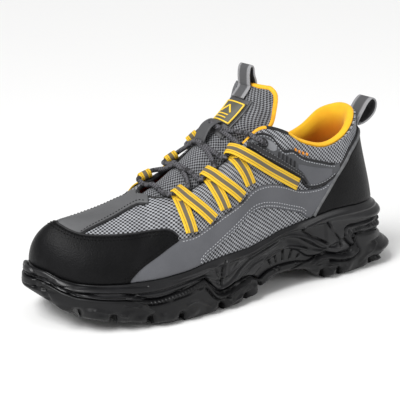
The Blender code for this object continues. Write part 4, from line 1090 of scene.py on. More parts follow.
def add_sections(
    name: str, path: Array, grid: Array, middle: Array, around: Array, finish: Finish
) -> bpy.types.Object:
    """Sections along a path, shut by a point at each end.

    Args:
        name: the piece's name.
        path: the path, whose length in millimetres is the map's first value.
        grid: one closed section for each point of the path.
        middle: the sections' middles; the first and the last one shut the ends.
        around: the map's second value round a section.
        finish: the piece's finish.

    Returns:
        The object.
    """
    ends = [np.broadcast_to(middle[k], (1, *grid.shape[1:])) for k in (0, -1)]
    length = arc_lengths(path[:, None], 0)[:, 0]
    length = np.concatenate([length[:1], length, length[-1:]])
    uv = np.stack(np.broadcast_arrays(length[:, None], around[None, :]), -1)
    return add_surface(name, np.concatenate([ends[0], grid, ends[1]]), finish, (False, True), uv)


def add_tube(
    name: str, path: Array, radius: float, finish: Finish, hint: Any, sides: int
) -> bpy.types.Object:
    """Round cord, closed at both ends: path + radius (cos a across + sin a off).

    Args:
        name: the piece's name.
        path: the path's points.
        radius: its radius.
        finish: the piece's finish.
        hint: a direction off the path.
        sides: corners of its section.

    Returns:
        The object.
    """
    side, off = frames_along(path, np.broadcast_to(np.asarray(hint, float), path.shape))
    angle = np.linspace(0, 2 * math.pi, sides, endpoint=False)
    ring = np.cos(angle)[None, :, None] * side[:, None] + np.sin(angle)[None, :, None] * off[:, None]
    return add_sections(name, path, path[:, None] + radius * ring, path, np.linspace(0, 1, sides + 1), finish)


def add_band(
    name: str, path: Array, side: Array, off: Array, width: float, thickness: float, finish: Finish
) -> bpy.types.Object:
    """Flat band along a path, closed at both ends, with rounded borders.

    Its section is a stadium: width across and thickness off the path. The map holds millimetres
    along it and the share of its width from the middle, from -0.5 to 0.5.

    Args:
        name: the piece's name.
        path: the path's points.
        side: directions across the band.
        off: directions off the surface.
        width: its width.
        thickness: its thickness.
        finish: the piece's finish.

    Returns:
        The object.
    """
    edge = min(thickness * 0.5, width * 0.2)
    profile = np.array(
        [(-0.5, 0.5), (-0.5, 0.8), (-0.5, 1.0), (-0.25, 1.0), (0.0, 1.0), (0.25, 1.0), (0.5, 1.0), (0.5, 0.8),
         (0.5, 0.5), (0.5, 0.2), (0.5, 0.0), (0.25, 0.0), (0.0, 0.0), (-0.25, 0.0), (-0.5, 0.0), (-0.5, 0.2)]
    )
    inset = np.array([0, 0.4, 1, 0, 0, 0, -1, -0.4, 0, -0.4, -1, 0, 0, 0, 1, 0.4]) * edge
    across_band = profile[:, 0] * width + inset
    grid = path[:, None] + across_band[None, :, None] * side[:, None]
    grid = grid + (profile[:, 1] * thickness)[None, :, None] * off[:, None]
    share = np.append(profile[:, 0], profile[0, 0])
    return add_sections(name, path, grid, path + off * thickness / 2, share, finish)


def resample(path: Array, step: float) -> tuple[Array, Array]:
    """Points a step apart along a path, and their distances along it in metres.

    Args:
        path: the path's points.
        step: the distance.

    Returns:
        The points, and their distances.
    """
    length = arc_lengths(path[:, None], 0)[:, 0] * MM
    count = max(int(length[-1] / step), 2)
    at = (np.arange(count) + 0.5) / count * length[-1]
    return np.stack([np.interp(at, length, path[:, k]) for k in range(3)], -1), at


@dataclass
class Stitching:
    """Rows of stitches: each is a short capsule of thread lying on the surface."""

    length: float = 0.0014
    gap: float = 0.0010
    radius: float = 0.00029

    def capsules(self, path: Array, normal: Array) -> Array:
        """Grids of the stitches along one path, as stitches x rings x sides x 3.

        Args:
            path: the path's points.
            normal: directions off the surface.

        Returns:
            The points.
        """
        places, at = resample(path, self.length + self.gap)
        length = arc_lengths(path[:, None], 0)[:, 0] * MM
        off = unit(np.stack([np.interp(at, length, normal[:, k]) for k in range(3)], -1))
        run = unit(np.gradient(places, axis=0))
        side = unit(np.cross(off, run))
        along = np.array((-0.5, -0.42, -0.18, 0.18, 0.42, 0.5))
        width = np.array((0.05, 0.75, 1.0, 1.0, 0.75, 0.05))
        lift = np.array((-0.2, 0.2, 0.55, 0.55, 0.2, -0.2))
        angle = np.linspace(0, 2 * math.pi, 6, endpoint=False)
        centre = places[:, None] + along[None, :, None] * self.length * run[:, None]
        centre = centre + lift[None, :, None] * self.radius * off[:, None]
        ring = np.cos(angle)[:, None] * side[:, None, None] + np.sin(angle)[:, None] * off[:, None, None]
        return centre[:, :, None] + width[None, :, None, None] * self.radius * ring

    def build(self, name: str, rows: Sequence[tuple[Array, Array]], finish: Finish) -> bpy.types.Object:
        """One piece with all the stitches of several rows.

        Args:
            name: the piece's name.
            rows: each row's points and directions.
            finish: the piece's finish.

        Returns:
            The object.
        """
        grids = np.concatenate([self.capsules(path, normal) for path, normal in rows])
        count, rings, sides = grids.shape[:3]
        i, j = np.meshgrid(np.arange(rings - 1), np.arange(sides), indexing="ij")
        here, ahead, turn = i * sides, (i + 1) * sides, (j + 1) % sides
        quad = np.stack([here + j, here + turn, ahead + turn, ahead + j], -1)
        ends = np.stack([np.arange(sides)[::-1], (rings - 1) * sides + np.arange(sides)])
        start = (np.arange(count) * rings * sides)[:, None, None]
        quads, caps = (quad.reshape(1, -1, 4) + start).reshape(-1, 4), (ends[None] + start).reshape(-1, sides)
        mesh = bpy.data.meshes.new(name)
        mesh.from_pydata(grids.reshape(-1, 3), [], quads.tolist() + caps.tolist())
        merge_doubles(mesh)
        mesh.shade_smooth()
        mesh.materials.append(finish.build())
        return link(name, mesh)


@dataclass
class Overlay:
    """A panel on the upper between a lower and an upper edge, with rounded borders.

    Its section at each station runs out over the panel at its thickness and back under it, so
    the piece is closed. Near every border the thickness falls as a quarter circle.
    """

    name: str
    edges: Columns
    finish: Finish
    thickness: float = SEAT + OVERLAY
    border: float = 0.0011
    per_row: int = 14
    levels: int = 18
    centre: float | None = None
    on_rim: bool = True
    curve: Array = field(init=False)

    def __post_init__(self) -> None:
        """Rounds the given edges."""
        rows = np.stack([self.edges["q"], self.edges["low"], self.edges["high"]], -1)
        self.curve = smooth_path(rows, 10)
        self.curve = self.curve[np.argsort(self.curve[:, 0], kind="stable")]

    def shares(self, q: Array) -> tuple[Array, Array]:
        """Lower and upper edge at stations on either side.

        Args:
            q: stations.

        Returns:
            Shares of the rib at both edges.
        """
        number = row_number(q)
        low = np.interp(number, self.curve[:, 0], self.curve[:, 1])
        high = np.interp(number, self.curve[:, 0], self.curve[:, 2])
        if self.on_rim:
            rim = share_at_height(q, smooth_side_value("rim", q) * RIM + SEAT)
            low = np.maximum(low, rim - 0.006)
        return low, np.maximum(high, low + 0.004)

    def stations(self, side: Side) -> Array:
        """Stations of the panel, closer together near its ends.

        Args:
            side: the side of the shoe.

        Returns:
            The stations.
        """
        first, last = self.edges["q"][0], self.edges["q"][-1]
        if self.centre is not None:
            first, last = (first, 2 * self.centre - first) if self.centre else (-last, last)
        count = int((last - first) * self.per_row)
        t = np.linspace(0, 1, count)
        t = t - 0.35 * np.sin(2 * math.pi * t) / (2 * math.pi)
        q = first + (last - first) * t
        return q if side is Side.LATERAL else across(q)[::-1]

    def edge_path(
        self, side: Side, top: bool, inset: float, lift: float = 0.0, span: Any = None
    ) -> tuple[Array, Array]:
        """A line beside one edge of the panel.

        Args:
            side: the side of the shoe.
            top: whether it follows the upper edge.
            inset: its distance inside the edge.
            lift: its height over the panel.
            span: first and last row number, or None for the whole edge.

        Returns:
            The line's points, and the directions off the surface.
        """
        q = self.stations(side)
        if span is not None:
            number = row_number(q) if self.centre is None else q
            q = q[(number >= span[0]) & (number <= span[1])]
        low, high = self.shares(q)
        height = np.linalg.norm(rib(q, high) - rib(q, low), axis=-1)
        share = np.clip(inset / np.maximum(height, 1e-6), -0.5, 0.5)
        v = high - (high - low) * share if top else low + (high - low) * share
        return skin(q, v, np.full(q.shape, self.thickness + lift)), skin_normal(q, v)

    def build(self, side: Side = Side.LATERAL) -> bpy.types.Object:
        """The panel as a mesh: skin(q, v, thickness x quarter circle of the distance from a border).

        Args:
            side: the side of the shoe.

        Returns:
            The object.
        """
        q = self.stations(side)
        low, high = self.shares(q)
        height = np.linalg.norm(rib(q, high) - rib(q, low), axis=-1) + 1e-6
        fixed = np.array((0.0, 0.08, 0.25, 0.5, 1.0)) * self.border
        inner = np.minimum(fixed[None, :] / height[:, None], np.linspace(0, 0.45, len(fixed))[None, :])
        middle = np.linspace(0, 1, self.levels)[None, 1:-1]
        start, stop = inner[:, -1:], 1 - inner[:, -1:]
        share = np.concatenate([inner, start + (stop - start) * middle, 1 - inner[:, ::-1]], 1)
        v = low[:, None] + (high - low)[:, None] * share
        grid_q = np.broadcast_to(q[:, None], v.shape)
        near = np.minimum(share, 1 - share) * height[:, None]
        centre = rib(q, (low + high) / 2)
        ends = np.minimum(*(np.linalg.norm(centre - centre[k], axis=-1) for k in (0, -1)))
        out = self.thickness * quarter_round(np.minimum(near, ends[:, None]) / self.border)
        section, uv = folded(skin(grid_q, v, out), skin(grid_q, v, 0 * out))
        word = self.name if self.centre is not None else f"{self.name}_{side.word}"
        return add_surface(word, section, self.finish, (False, True), uv)


def bump_along(x: Array, centre: Any, half: Any) -> Array:
    """Smooth hill of height one round a centre, nothing beyond half."""
    t = np.clip(1 - np.abs(x - centre) / half, 0, 1)
    return t * t * (3 - 2 * t)


def line_distance(x: Array, z: Array, points: Sequence[tuple[float, float]]) -> Array:
    """Distance from a broken line.

    Args:
        x: places along the shoe.
        z: heights.
        points: the line's corners.

    Returns:
        The distances.
    """
    best = np.full(np.broadcast(x, z).shape, 1e9)
    for (ax, az), (bx, bz) in zip(points, points[1:]):
        run_x, run_z = bx - ax, bz - az
        t = np.clip(((x - ax) * run_x + (z - az) * run_z) / (run_x**2 + run_z**2), 0, 1)
        best = np.minimum(best, np.hypot(x - ax - t * run_x, z - az - t * run_z))
    return best


def corner_cut(grid: Array, times: int) -> Array:
    """Rounds the profiles of a grid by cutting their corners a quarter from each end, a few times.

    Args:
        grid: profiles in rows.
        times: number of cuts.

    Returns:
        The rounded profiles.
    """
    for _ in range(times):
        first = grid[:, :-1] * 0.75 + grid[:, 1:] * 0.25
        second = grid[:, :-1] * 0.25 + grid[:, 1:] * 0.75
        inner = np.stack([first, second], 2).reshape(len(grid), -1, 3)
        grid = np.concatenate([grid[:, :1], inner, grid[:, -1:]], 1)
    return grid


def even_levels(grid: Array, count: int) -> Array:
    """The profiles of a grid with their points spread evenly along them, by linear interpolation.

    Args:
        grid: profiles in rows.
        count: points of each profile.

    Returns:
        The new profiles.
    """
    length = arc_lengths(grid, 1)
    share = length / length[:, -1:]
    wanted = np.linspace(0, 1, count)
    order = np.stack([np.clip(np.searchsorted(s, wanted) - 1, 0, len(s) - 2) for s in share])
    rows = np.arange(len(grid))[:, None]
    low, high = share[rows, order], share[rows, order + 1]
    t = ((wanted[None] - low) / np.maximum(high - low, 1e-9))[..., None]
    return grid[rows, order] * (1 - t) + grid[rows, order + 1] * t


@dataclass
class Sole:
    """Outsole and midsole: profiles round the sole's plan, with the moulded features of their sides.

    The sizes of ribs, lugs and notches are in millimetres.
    """

    stations: int = 1000
    outsole_levels: int = 52
    midsole_levels: int = 84
    tread_columns: int = 41
    rib_depth: float = 1.1
    facet_border: float = 1.2
    lug_height: float = 9.5
    lug_fade: float = 3.0
    notch_depth: float = 3.2
    swell: float = 1.6
    swell_place: float = 8.0
    swell_half: float = 6.5
    groove_border: float = 1.8
    sharp_angle: float = 50.0

    def lines(self) -> dict[str, Array]:
        """Heights and steps of the side's lines at every station.

        Returns:
            The values by name.
        """
        q = (np.arange(self.stations) + 0.5) / self.stations * RING
        found: dict[str, Array] = {"q": q, "ground": smooth_side_value("ground", q) * SPRING}
        for name in ("tread", "arch", "wave", "ridge", "rim"):
            found[name] = smooth_side_value(name, q) * RIM
        for name in ("arch_step", "wave_step", "ridge_step"):
            found[name] = smooth_side_value(name, q) * STEP
        found["kick"] = round_loop(PLAN["kick"], PLAN["kick"], q) * HEEL_KICK
        found["plate"] = found["ground"] + PLATE
        found["lip"] = np.maximum(found["tread"], found["plate"] + GAP)
        return found

    def outsole(self) -> None:
        """Tread plate and lip, with notches between the lugs at its edge and grooves across its tread."""
        at = self.lines()
        q, ground, lip, kick = at["q"], at["ground"], at["lip"], at["kick"]
        height = lip - ground
        levels = (
            (ground, -LIP * 1.6),
            (ground + 0.10 * height, -LIP * 0.5 + kick * 0.7),
            (ground + 0.45 * height, LIP * 0.15 + kick),
            (ground + 0.75 * height, kick * 0.4),
            (lip, -LIP * 0.1),
            (lip, np.full_like(q, -LIP)),
            (at["plate"], np.full_like(q, -LIP)),
        )
        rings = np.stack([sole_point(q, z, out) for z, out in levels], 1)
        rings = even_levels(corner_cut(rings, 2), self.outsole_levels)
        rings = self.outsole_relief(q, rings, at)
        notch = ground[:, None] + EDGE_DEPTH * self.groove_depth(rings)
        rings[..., 2] = np.maximum(rings[..., 2], notch)
        piece = self.close(rings, "outsole_tread", RUBBER, self.tread(rings, ground))
        on_shoe(piece, "outsole", "outsole")

    def outward(self, q: Array, rings: Array) -> Array:
        """Horizontal direction away from the plan curve, for each point of the rings."""
        step = sole_point(q, 0.0, 0.001) - sole_point(q, 0.0, 0.0)
        return unit(step)[:, None] + 0 * rings

    def side_relief(self, rings: Array) -> Array:
        """Height in millimetres of the ridges, grooves and ribs moulded into the sole's side.

        Args:
            rings: the sole's points, by station and level.

        Returns:
            The heights.
        """
        x, y, z = (rings[..., k] / MM for k in range(3))
        out = np.zeros_like(x)
        for height, half, points in SIDE_LINES:
            line = smooth_path(points, 4) if len(points) > 2 else points
            out += height * bump_along(line_distance(x, z, line), 0, half)
        for half, pitch, points in RIBBED:
            ribs = 0.5 + 0.5 * np.cos((x + 0.4 * np.abs(y)) * 2 * math.pi / pitch)
            out -= self.rib_depth * ribs * bump_along(line_distance(x, z, points), 0, half)
        for corners, depth in FACETS:
            out -= depth * self.facet(x, z, corners)
        out += self.lugs(x, y, z)
        back = np.clip((-8 - x) / 16, 0, 1)
        front = np.clip((x - 240) / 6, 0, 1)
        bumper = np.clip((x - 255) / 25, 0, 1)
        for share, lines in ((back, HEEL_LINES), (bumper, (TOE_BUMPER,)), (front, TOE_LINES)):
            for height, level, half in lines:
                out += share * height * bump_along(z, level, half)
        return out * np.clip((np.abs(y) + 25 * (back + front) - 8) / 6, 0, 1)

    def facet(self, x: Array, z: Array, corners: Sequence[tuple[float, float]]) -> Array:
        """Mask of a triangle in the side's view, one inside it, with soft borders.

        Args:
            x: places along the shoe.
            z: heights.
            corners: the triangle's corners.

        Returns:
            The mask.
        """
        middle = np.mean(corners, axis=0)
        inside = np.full(x.shape, 1e9)
        for (ax, az), (bx, bz) in zip(corners, (*corners[1:], corners[0])):
            normal = np.array((bz - az, ax - bx)) / math.hypot(bx - ax, bz - az)
            if normal @ (middle - (ax, az)) < 0:
                normal = -normal
            inside = np.minimum(inside, (x - ax) * normal[0] + (z - az) * normal[1])
        return np.clip(inside / self.facet_border, 0, 1)

    def lugs(self, x: Array, y: Array, z: Array) -> Array:
        """Swell of each lug on the lower side, and the notches between lugs where the grooves end.

        Args:
            x: places along the shoe.
            y: places across it.
            z: heights.

        Returns:
            The heights in millimetres.
        """
        out = np.zeros_like(x)
        for place, width, lean in zip(*GROOVES.values()):
            centre = station_x(place) / MM + LEAN_SHOWN * lean * np.abs(y)
            ground = np.interp(place, SIDE["x"], SIDE["ground"]) * SPRING / MM
            low = np.clip((self.lug_height - (z - ground)) / self.lug_fade, 0, 1)
            out -= self.notch_depth * bump_along(x, centre, 3.2 + 1.3 * width) * low
            for place in (centre - self.swell_place, centre + self.swell_place):
                out += self.swell * bump_along(x, place, self.swell_half) * low
        return out

    def outsole_relief(self, q: Array, rings: Array, at: dict[str, Array]) -> Array:
        """The side's relief where it is in sight.

        Args:
            q: stations.
            rings: the sole's points, by station and level.
            at: the side's lines.

        Returns:
            The moved points.
        """
        facing = np.linalg.norm(rings[:, :, :2] - sole_point(q, 0.0, -LIP)[:, None, :2], axis=-1)
        above = rings[..., 2] - at["ground"][:, None] - 0.0004
        shown = np.clip(facing / 0.002, 0, 1) * np.clip(above / 0.002, 0, 1)
        return rings + self.outward(q, rings) * (self.side_relief(rings) * MM * shown)[..., None]

    def groove_depth(self, points: Array) -> Array:
        """Depth of the grooves between the lugs, bent to a V, over points of the sole.

        Args:
            points: points of the sole.

        Returns:
            The depths.
        """
        depth = np.zeros(points.shape[:-1])
        for place, width, lean in zip(*GROOVES.values()):
            centre = station_x(place) + LEAN_SHOWN * lean * np.abs(points[..., 1])
            inside = width * GROOVE_WIDTH * 0.5 - np.abs(points[..., 0] - centre)
            depth = np.maximum(depth, GROOVE_DEPTH * np.clip(inside / MM / self.groove_border + 0.5, 0, 1))
        return depth

    def tread(self, rings: Array, ground: Array) -> Array:
        """Grid of the tread from side to side, with its grooves, without the stations at the two ends.

        Args:
            rings: the sole's points, by station and level.
            ground: heights of the tread.

        Returns:
            The grid's points.
        """
        half = len(rings) // 2
        left, right = rings[1 : half - 1, 0], rings[::-1][1 : half - 1, 0]
        share = np.linspace(0, 1, self.tread_columns)[None, :, None]
        grid = left[:, None] * (1 - share) + right[:, None] * share
        edge = 1 + (EDGE_DEPTH - 1) * np.abs(2 * share[..., 0] - 1) ** 4
        grid[..., 2] = ground[1 : half - 1, None] + edge * self.groove_depth(grid)
        return grid

    def close(self, rings: Array, name: str, finish: Finish, below: Array | None = None) -> bpy.types.Object:
        """Solid of rings of stations, closed by strips from side to side, or by a grid below.

        Args:
            rings: the sole's points, by station and level.
            name: the piece's name.
            finish: the piece's finish.
            below: the grid of the tread, or None.

        Returns:
            The object.
        """
        stations, levels = rings.shape[:2]
        piece = add_surface(name, rings, finish, (True, False), merge=False)
        shape = bmesh.new()
        shape.from_mesh(piece.data)
        shape.verts.ensure_lookup_table()
        if below is not None:
            self.close_below(shape, below, stations, levels)
        for level in (0, levels - 1)[below is not None :]:
            for i in range(stations // 2 - 1):
                strip = (i, i + 1, stations - i - 2, stations - i - 1)
                shape.faces.new([shape.verts[k * levels + level] for k in strip]).smooth = True
        write_merged(shape, piece.data)
        piece.data.set_sharp_from_angle(angle=math.radians(self.sharp_angle))
        return piece

    def close_below(self, shape: bmesh.types.BMesh, below: Array, stations: int, levels: int) -> None:
        """Faces of the tread's grid, joined to the lowest level of the rings.

        Args:
            shape: the shape.
            below: the grid.
            stations: number of stations.
            levels: number of levels.
        """
        ring = [shape.verts[k * levels] for k in range(stations)]
        rows = []
        for i, row in enumerate(below, 1):
            rows.append([ring[i], *(shape.verts.new(p) for p in row[1:-1]), ring[stations - 1 - i]])
        for a, b in zip(rows, rows[1:]):
            for k in range(len(a) - 1):
                shape.faces.new((a[k], a[k + 1], b[k + 1], b[k])).smooth = True
        last = stations // 2
        shape.faces.new([ring[0], *rows[0], ring[stations - 1]])
        shape.faces.new([ring[last - 1], *rows[-1], ring[last]])
        shape.verts.ensure_lookup_table()

    def midsole(self) -> None:
        """Foam cup: its arch, wave and ridge lines step out over each other up to the rim."""
        at = self.lines()
        q = at["q"]
        lip, arch, wave, ridge, rim = (at[name] for name in ("lip", "arch", "wave", "ridge", "rim"))
        arch_step, wave_step, ridge_step = (at[name] for name in ("arch_step", "wave_step", "ridge_step"))
        kick = at["kick"] * 0.3
        tuck, under = -LIP - SEAT, 0.0015
        levels = (
            (at["plate"] + GAP, tuck),
            (lip + GAP, tuck),
            (lip + GAP, -0.0012 - 0.6 * arch_step),
            (np.maximum(arch - under, lip + 0.0006), -0.0008 - arch_step),
            (np.maximum(arch, lip + 0.0012), kick - 0.0004),
            (np.maximum(wave - under, arch + 0.0008), -0.0008 - wave_step),
            (np.maximum(wave, arch + 0.0014), kick - 0.0002),
            (np.maximum(ridge - under, wave + 0.0006), -0.0010 - ridge_step * 0.6),
            (np.maximum(ridge, wave + 0.0012), kick - 0.0006),
        )
        rings = [sole_point(q, z, out) for z, out in levels]
        share = share_at_height(q, rim)
        inner = skin(q, share, np.full(q.shape, SEAT))
        away = inner - skin(q, share, np.zeros(q.shape))
        away[:, 2] = 0
        away = unit(away)
        shelf = inner + away * LIP * 0.6 - np.array((0, 0, 0.0012))
        front = np.clip((shelf[:, 0] - 0.205) / 0.03, 0, 1) * 0.0035
        halfway = (rings[-1] + shelf) / 2
        halfway[:, 2] += front
        rings += [halfway, shelf, inner + away * LIP * 0.3, inner]
        visible = even_levels(corner_cut(np.stack(rings, 1), 2), self.midsole_levels)
        visible = self.midsole_relief(visible, q)
        hidden = [skin(q, share * part, np.full(q.shape, SEAT)) for part in (0.66, 0.33, 0.0)]
        hidden[-1][:, 2] = round_loop(LAST["bed"], LAST["bed"], q) * BED - GAP
        grid = np.concatenate([visible, np.stack(hidden, 1)], 1)
        on_shoe(self.close(grid, "midsole_cup", FOAM), "midsole", "midsole")

    def midsole_relief(self, rings: Array, q: Array) -> Array:
        """The side's relief, faded out at the hidden lower and upper levels.

        Args:
            rings: the sole's points, by station and level.
            q: stations.

        Returns:
            The moved points.
        """
        level = np.arange(rings.shape[1])[None, :]
        fade = np.clip((level - 6) / 5, 0, 1) * np.clip((rings.shape[1] - 6 - level) / 5, 0, 1)
        return rings + self.outward(q, rings) * (self.side_relief(rings) * MM * fade)[..., None]

    def build(self) -> None:
        """Both pieces."""
        self.outsole()
        self.midsole()


@dataclass
class Upper:
    """The hollow upper of mesh cloth, open at the collar and throat, and its edge piping."""

    per_row: int = 12
    levels: int = 46
    binding_radius: float = 0.0015
    binding_depth: float = WALL * 0.45

    def build(self) -> None:
        """The cloth, with its wall, and the piping round its open edges."""
        q = (np.arange(RING * self.per_row) + 0.5) / self.per_row
        v = np.linspace(0, 1, self.levels)
        grid = rib(q[:, None], v[None, :])
        closed, middle = np.concatenate([grid, grid[:1]]), self.levels // 2
        run = arc_lengths(closed[:, middle : middle + 1], 0)
        uv = np.stack(np.broadcast_arrays(run, arc_lengths(closed, 1)), -1)
        cloth = add_surface("upper_mesh", grid, MESH, (True, False), uv)
        wall = cloth.modifiers.new("wall", "SOLIDIFY")
        wall.thickness = WALL
        wall.offset = -1
        wall.use_even_offset = True
        # The wall's inside takes the lining cloth, with its painted shade set by millimetres up from the
        # sole.
        cloth.data.materials.append(LINING_YELLOW.build())
        wall.material_offset = 1
        on_shoe(cloth, "upper", "upper")
        self.piping()

    def piping(self) -> None:
        """Binding over the throat's edge, yellow at its rear end."""
        for side in Side:
            for name, first, last, finish in (
                ("throat_binding", 7.95, 11.72, DARK_PIPING),
                ("collar_front_binding", 6.75, 7.95, YELLOW_EDGE),
                ("collar_dark_binding", 5.75, 6.75, DARK_PIPING),
            ):
                q = side.station(np.linspace(first, last, 60))
                normal = skin_normal(q, np.full_like(q, 0.97))
                path = rib(q, 1.0) - normal * self.binding_depth
                piece = add_tube(f"{name}_{side.word}", path, self.binding_radius, finish, normal, 10)
                on_shoe(piece, "upper")


@dataclass
class Panels:
    """The overlays on the upper with their stitching and piping."""

    stitching: Stitching = field(default_factory=Stitching)
    seam_insets: tuple[float, float] = (0.0016, 0.0036)
    eyelet_radius: float = 0.0030

    def seam(self, name: str, lines: Sequence[tuple[Array, Array]], finish: Finish, slot: str) -> None:
        """Stitches along lines on the upper."""
        on_shoe(self.stitching.build(name, lines, finish), slot)

    def cord(
        self, name: str, line: tuple[Array, Array], radius: float, finish: Finish, slot: str, sides: int = 8
    ) -> None:
        """Cord along a line on the upper."""
        on_shoe(add_tube(name, line[0], radius, finish, line[1], sides), slot)

    def toe_cap(self) -> None:
        """Toe cap with a double seam along its rear edge."""
        height = SEAT + OVERLAY + 0.0007
        cap = Overlay("toe_cap_panel", TOE_CAP, CAP, height, centre=TIP, per_row=16, levels=22)
        on_shoe(cap.build(), "toe_cap", "toe_cap")
        rows = [cap.edge_path(Side.LATERAL, True, inset) for inset in self.seam_insets]
        for span in ((10.35, 12.7), (across(12.7), across(10.35))):
            rows += [cap.edge_path(Side.LATERAL, False, inset, span=span) for inset in self.seam_insets]
        self.seam("toe_cap_stitches", rows, DARK_THREAD, "toe_cap")
        edge = cap.edge_path(Side.LATERAL, True, -0.0002, -0.0008)
        self.cord("toe_cap_edge", edge, THIN_CORD, DARK_PIPING, "toe_cap")

    def counter(self) -> None:
        """Heel counter with grey piping and a dark line along its edge."""
        panel = Overlay("heel_counter_panel", COUNTER, CAP, centre=0, per_row=16, levels=20)
        on_shoe(panel.build(), "heel_counter", "heel_counter")
        edge = panel.edge_path(Side.LATERAL, True, -0.0007, -0.0007)
        self.cord("counter_piping", edge, 0.0014, PIPING, "heel_counter", 10)
        edge = panel.edge_path(Side.LATERAL, True, -0.0030, -0.0012)
        self.cord("counter_dark_line", edge, 0.0008, DARK_PIPING, "heel_counter")

    def side_panels(self, side: Side) -> None:
        """Side panel with light stitching, double along its lower edge.

        Args:
            side: the side of the shoe.
        """
        node = f"side_panel_{side.word}"
        panel = Overlay("side_panel_skin", SIDE_PANEL, PANEL, per_row=16, levels=16)
        on_shoe(panel.build(side), node, node)
        rows = [
            panel.edge_path(side, True, 0.0016, span=(3.9, 10.2)),
            panel.edge_path(side, False, 0.0018, span=(4.75, 9.35)),
            panel.edge_path(side, False, 0.0042, span=(4.75, 9.35)),
        ]
        self.seam(f"side_panel_stitches_{side.word}", rows, LIGHT_THREAD, node)

    def quarter(self, side: Side) -> None:
        """Moulded quarter support: skin, dark stitched band, ribs, insert, rear plate and eyelet ring.

        Args:
            side: the side of the shoe.
        """
        node = f"quarter_support_{side.word}"
        height = SEAT + OVERLAY
        skin_piece = Overlay("quarter_skin", QUARTER_SKIN, QUARTER_FILM, height, 0.0010, 34, 26, on_rim=False)
        on_shoe(skin_piece.build(side), node, node)
        band = Overlay("quarter_band", QUARTER_BAND, BAND, height + 0.0016, 0.0007, 34, 10, on_rim=False)
        on_shoe(band.build(side), node)
        for name, rows, finish, lift in (
            ("quarter_insert", QUARTER_INSERT, INSERT_FILM, 0.0005),
            ("quarter_rear", QUARTER_REAR, PANEL, 0.0006),
        ):
            plate = Overlay(name, rows, finish, height + lift, 0.0006, 40, 14, on_rim=False)
            on_shoe(plate.build(side), node)
        for number, at in enumerate(QUARTER_RIBS, 1):
            low = 0.722 - (QUARTER_RIBS[0] - at) * 0.03
            rows = table("q low high", *((at + d, low, low + RIB_HEIGHT) for d in (-0.045, 0.0, 0.045)))
            bar = Overlay(f"quarter_rib_{number}", rows, BAND, height + 0.0010, 0.0006, 200, 10, on_rim=False)
            on_shoe(bar.build(side), node)
        ends = ((True, (3.6, 7.2)), (False, (3.6, 4.7)))
        seams = [skin_piece.edge_path(side, top, 0.0014, span=span) for top, span in ends]
        self.seam(f"quarter_stitches_{side.word}", seams, LIGHT_THREAD, node)
        seams = [band.edge_path(side, top, 0.0010, span=(5.0, 7.5)) for top in (True, False)]
        self.seam(f"quarter_band_stitches_{side.word}", seams, GREY_THREAD, node)
        for name, top in (("top", True), ("low", False)):
            edge = skin_piece.edge_path(side, top, -0.0004, -0.0009, span=(3.6, 7.6))
            self.cord(f"quarter_edge_{name}_{side.word}", edge, THIN_CORD, DARK_PIPING, node)
        self.eyelet_rim(side, height + 0.0006, node)

    def eyelet_rim(self, side: Side, lift: float, node: str) -> None:
        """Ring round the top eyelet.

        Args:
            side: the side of the shoe.
            lift: its height over the upper.
            node: the solid's name, which is also the slot's.
        """
        hole_q = side.station(np.array([TOP_EYELET[0]]))
        hole_v = np.array([TOP_EYELET[1]])
        centre = skin(hole_q, hole_v, lift)[0]
        normal = skin_normal(hole_q, hole_v)[0]
        first = unit(np.cross(normal, (0.0, 0.0, 1.0)))
        second = np.cross(normal, first)
        angle = np.linspace(0, 2 * math.pi, 33)[:, None]
        ring = centre + self.eyelet_radius * (np.cos(angle) * first + np.sin(angle) * second)
        self.cord(f"eyelet_rim_{side.word}", (ring, normal), THIN_CORD, DARK_PIPING, node)

    def vamp_low(self, q: Array) -> Array:
        """Lower edge of the vamp's strip."""
        return np.interp(row_number(q), *smooth_path(np.stack(list(VAMP_STRIP.values()), -1), 10).T)

    def vamp(self) -> None:
        """Smooth strip over the ridge of the vamp, and its wings round the throat's front."""
        q = np.linspace(11.98, 16.98, 110)
        low = self.vamp_low(q)[:, None]
        share = low + (1 - low) * np.linspace(0, 1, 22)[None, :]
        q = q[:, None]
        height = SEAT + OVERLAY
        fall = np.clip((share - low) * 60.0, 0, 1) * np.clip((17.0 - q) * 8, 0, 1)
        hidden = np.clip((q - 14.7) / 0.6, 0, 1) * np.clip(1 - (share - low) * 12.0, 0, 1)
        out = height * quarter_round(fall) * (1 - 0.5 * hidden)
        outer, inner = skin(q, share, out), skin(across(q), share, out)
        crest = (outer[:, -1:] + inner[:, -1:]) / 2
        over = np.concatenate([outer[:, :-1], crest, inner[:, -2::-1]], 1)
        blend = slice(over.shape[1] // 2 - 3, over.shape[1] // 2 + 4)
        for _ in range(3):
            around = np.roll(over, 1, 1)[:, blend] + np.roll(over, -1, 1)[:, blend]
            over[:, blend] = (around + over[:, blend] * 2) / 4
        outer, inner = skin(q, share, 0 * out), skin(across(q), share, 0 * out)
        below = np.concatenate([outer, inner[:, -2::-1]], 1)
        section, uv = folded(over, below)
        on_shoe(add_surface("vamp_strip_skin", section, STRIP, (False, True), uv), "vamp_strip", "vamp_strip")
        rows = []
        for side in Side:
            piece = Overlay("throat_wing", THROAT_WING, STRIP, height - 0.0001, 0.0008, 60, 12, on_rim=False)
            on_shoe(piece.build(side), "vamp_strip")
            at = side.station(np.linspace(11.6, 14.55, 90))
            edge = self.vamp_low(at)
            normal = skin_normal(at, edge)
            path = skin(at, edge - 0.005, np.full(at.shape, 0.0005))
            self.cord(f"vamp_edge_{side.word}", (path, normal), THIN_CORD, DARK_PIPING, "vamp_strip")
            rows.append((skin(at, edge + 0.030, np.full(at.shape, height)), skin_normal(at, edge + 0.030)))
        self.seam("vamp_stitches", rows, DARK_THREAD, "vamp_strip")

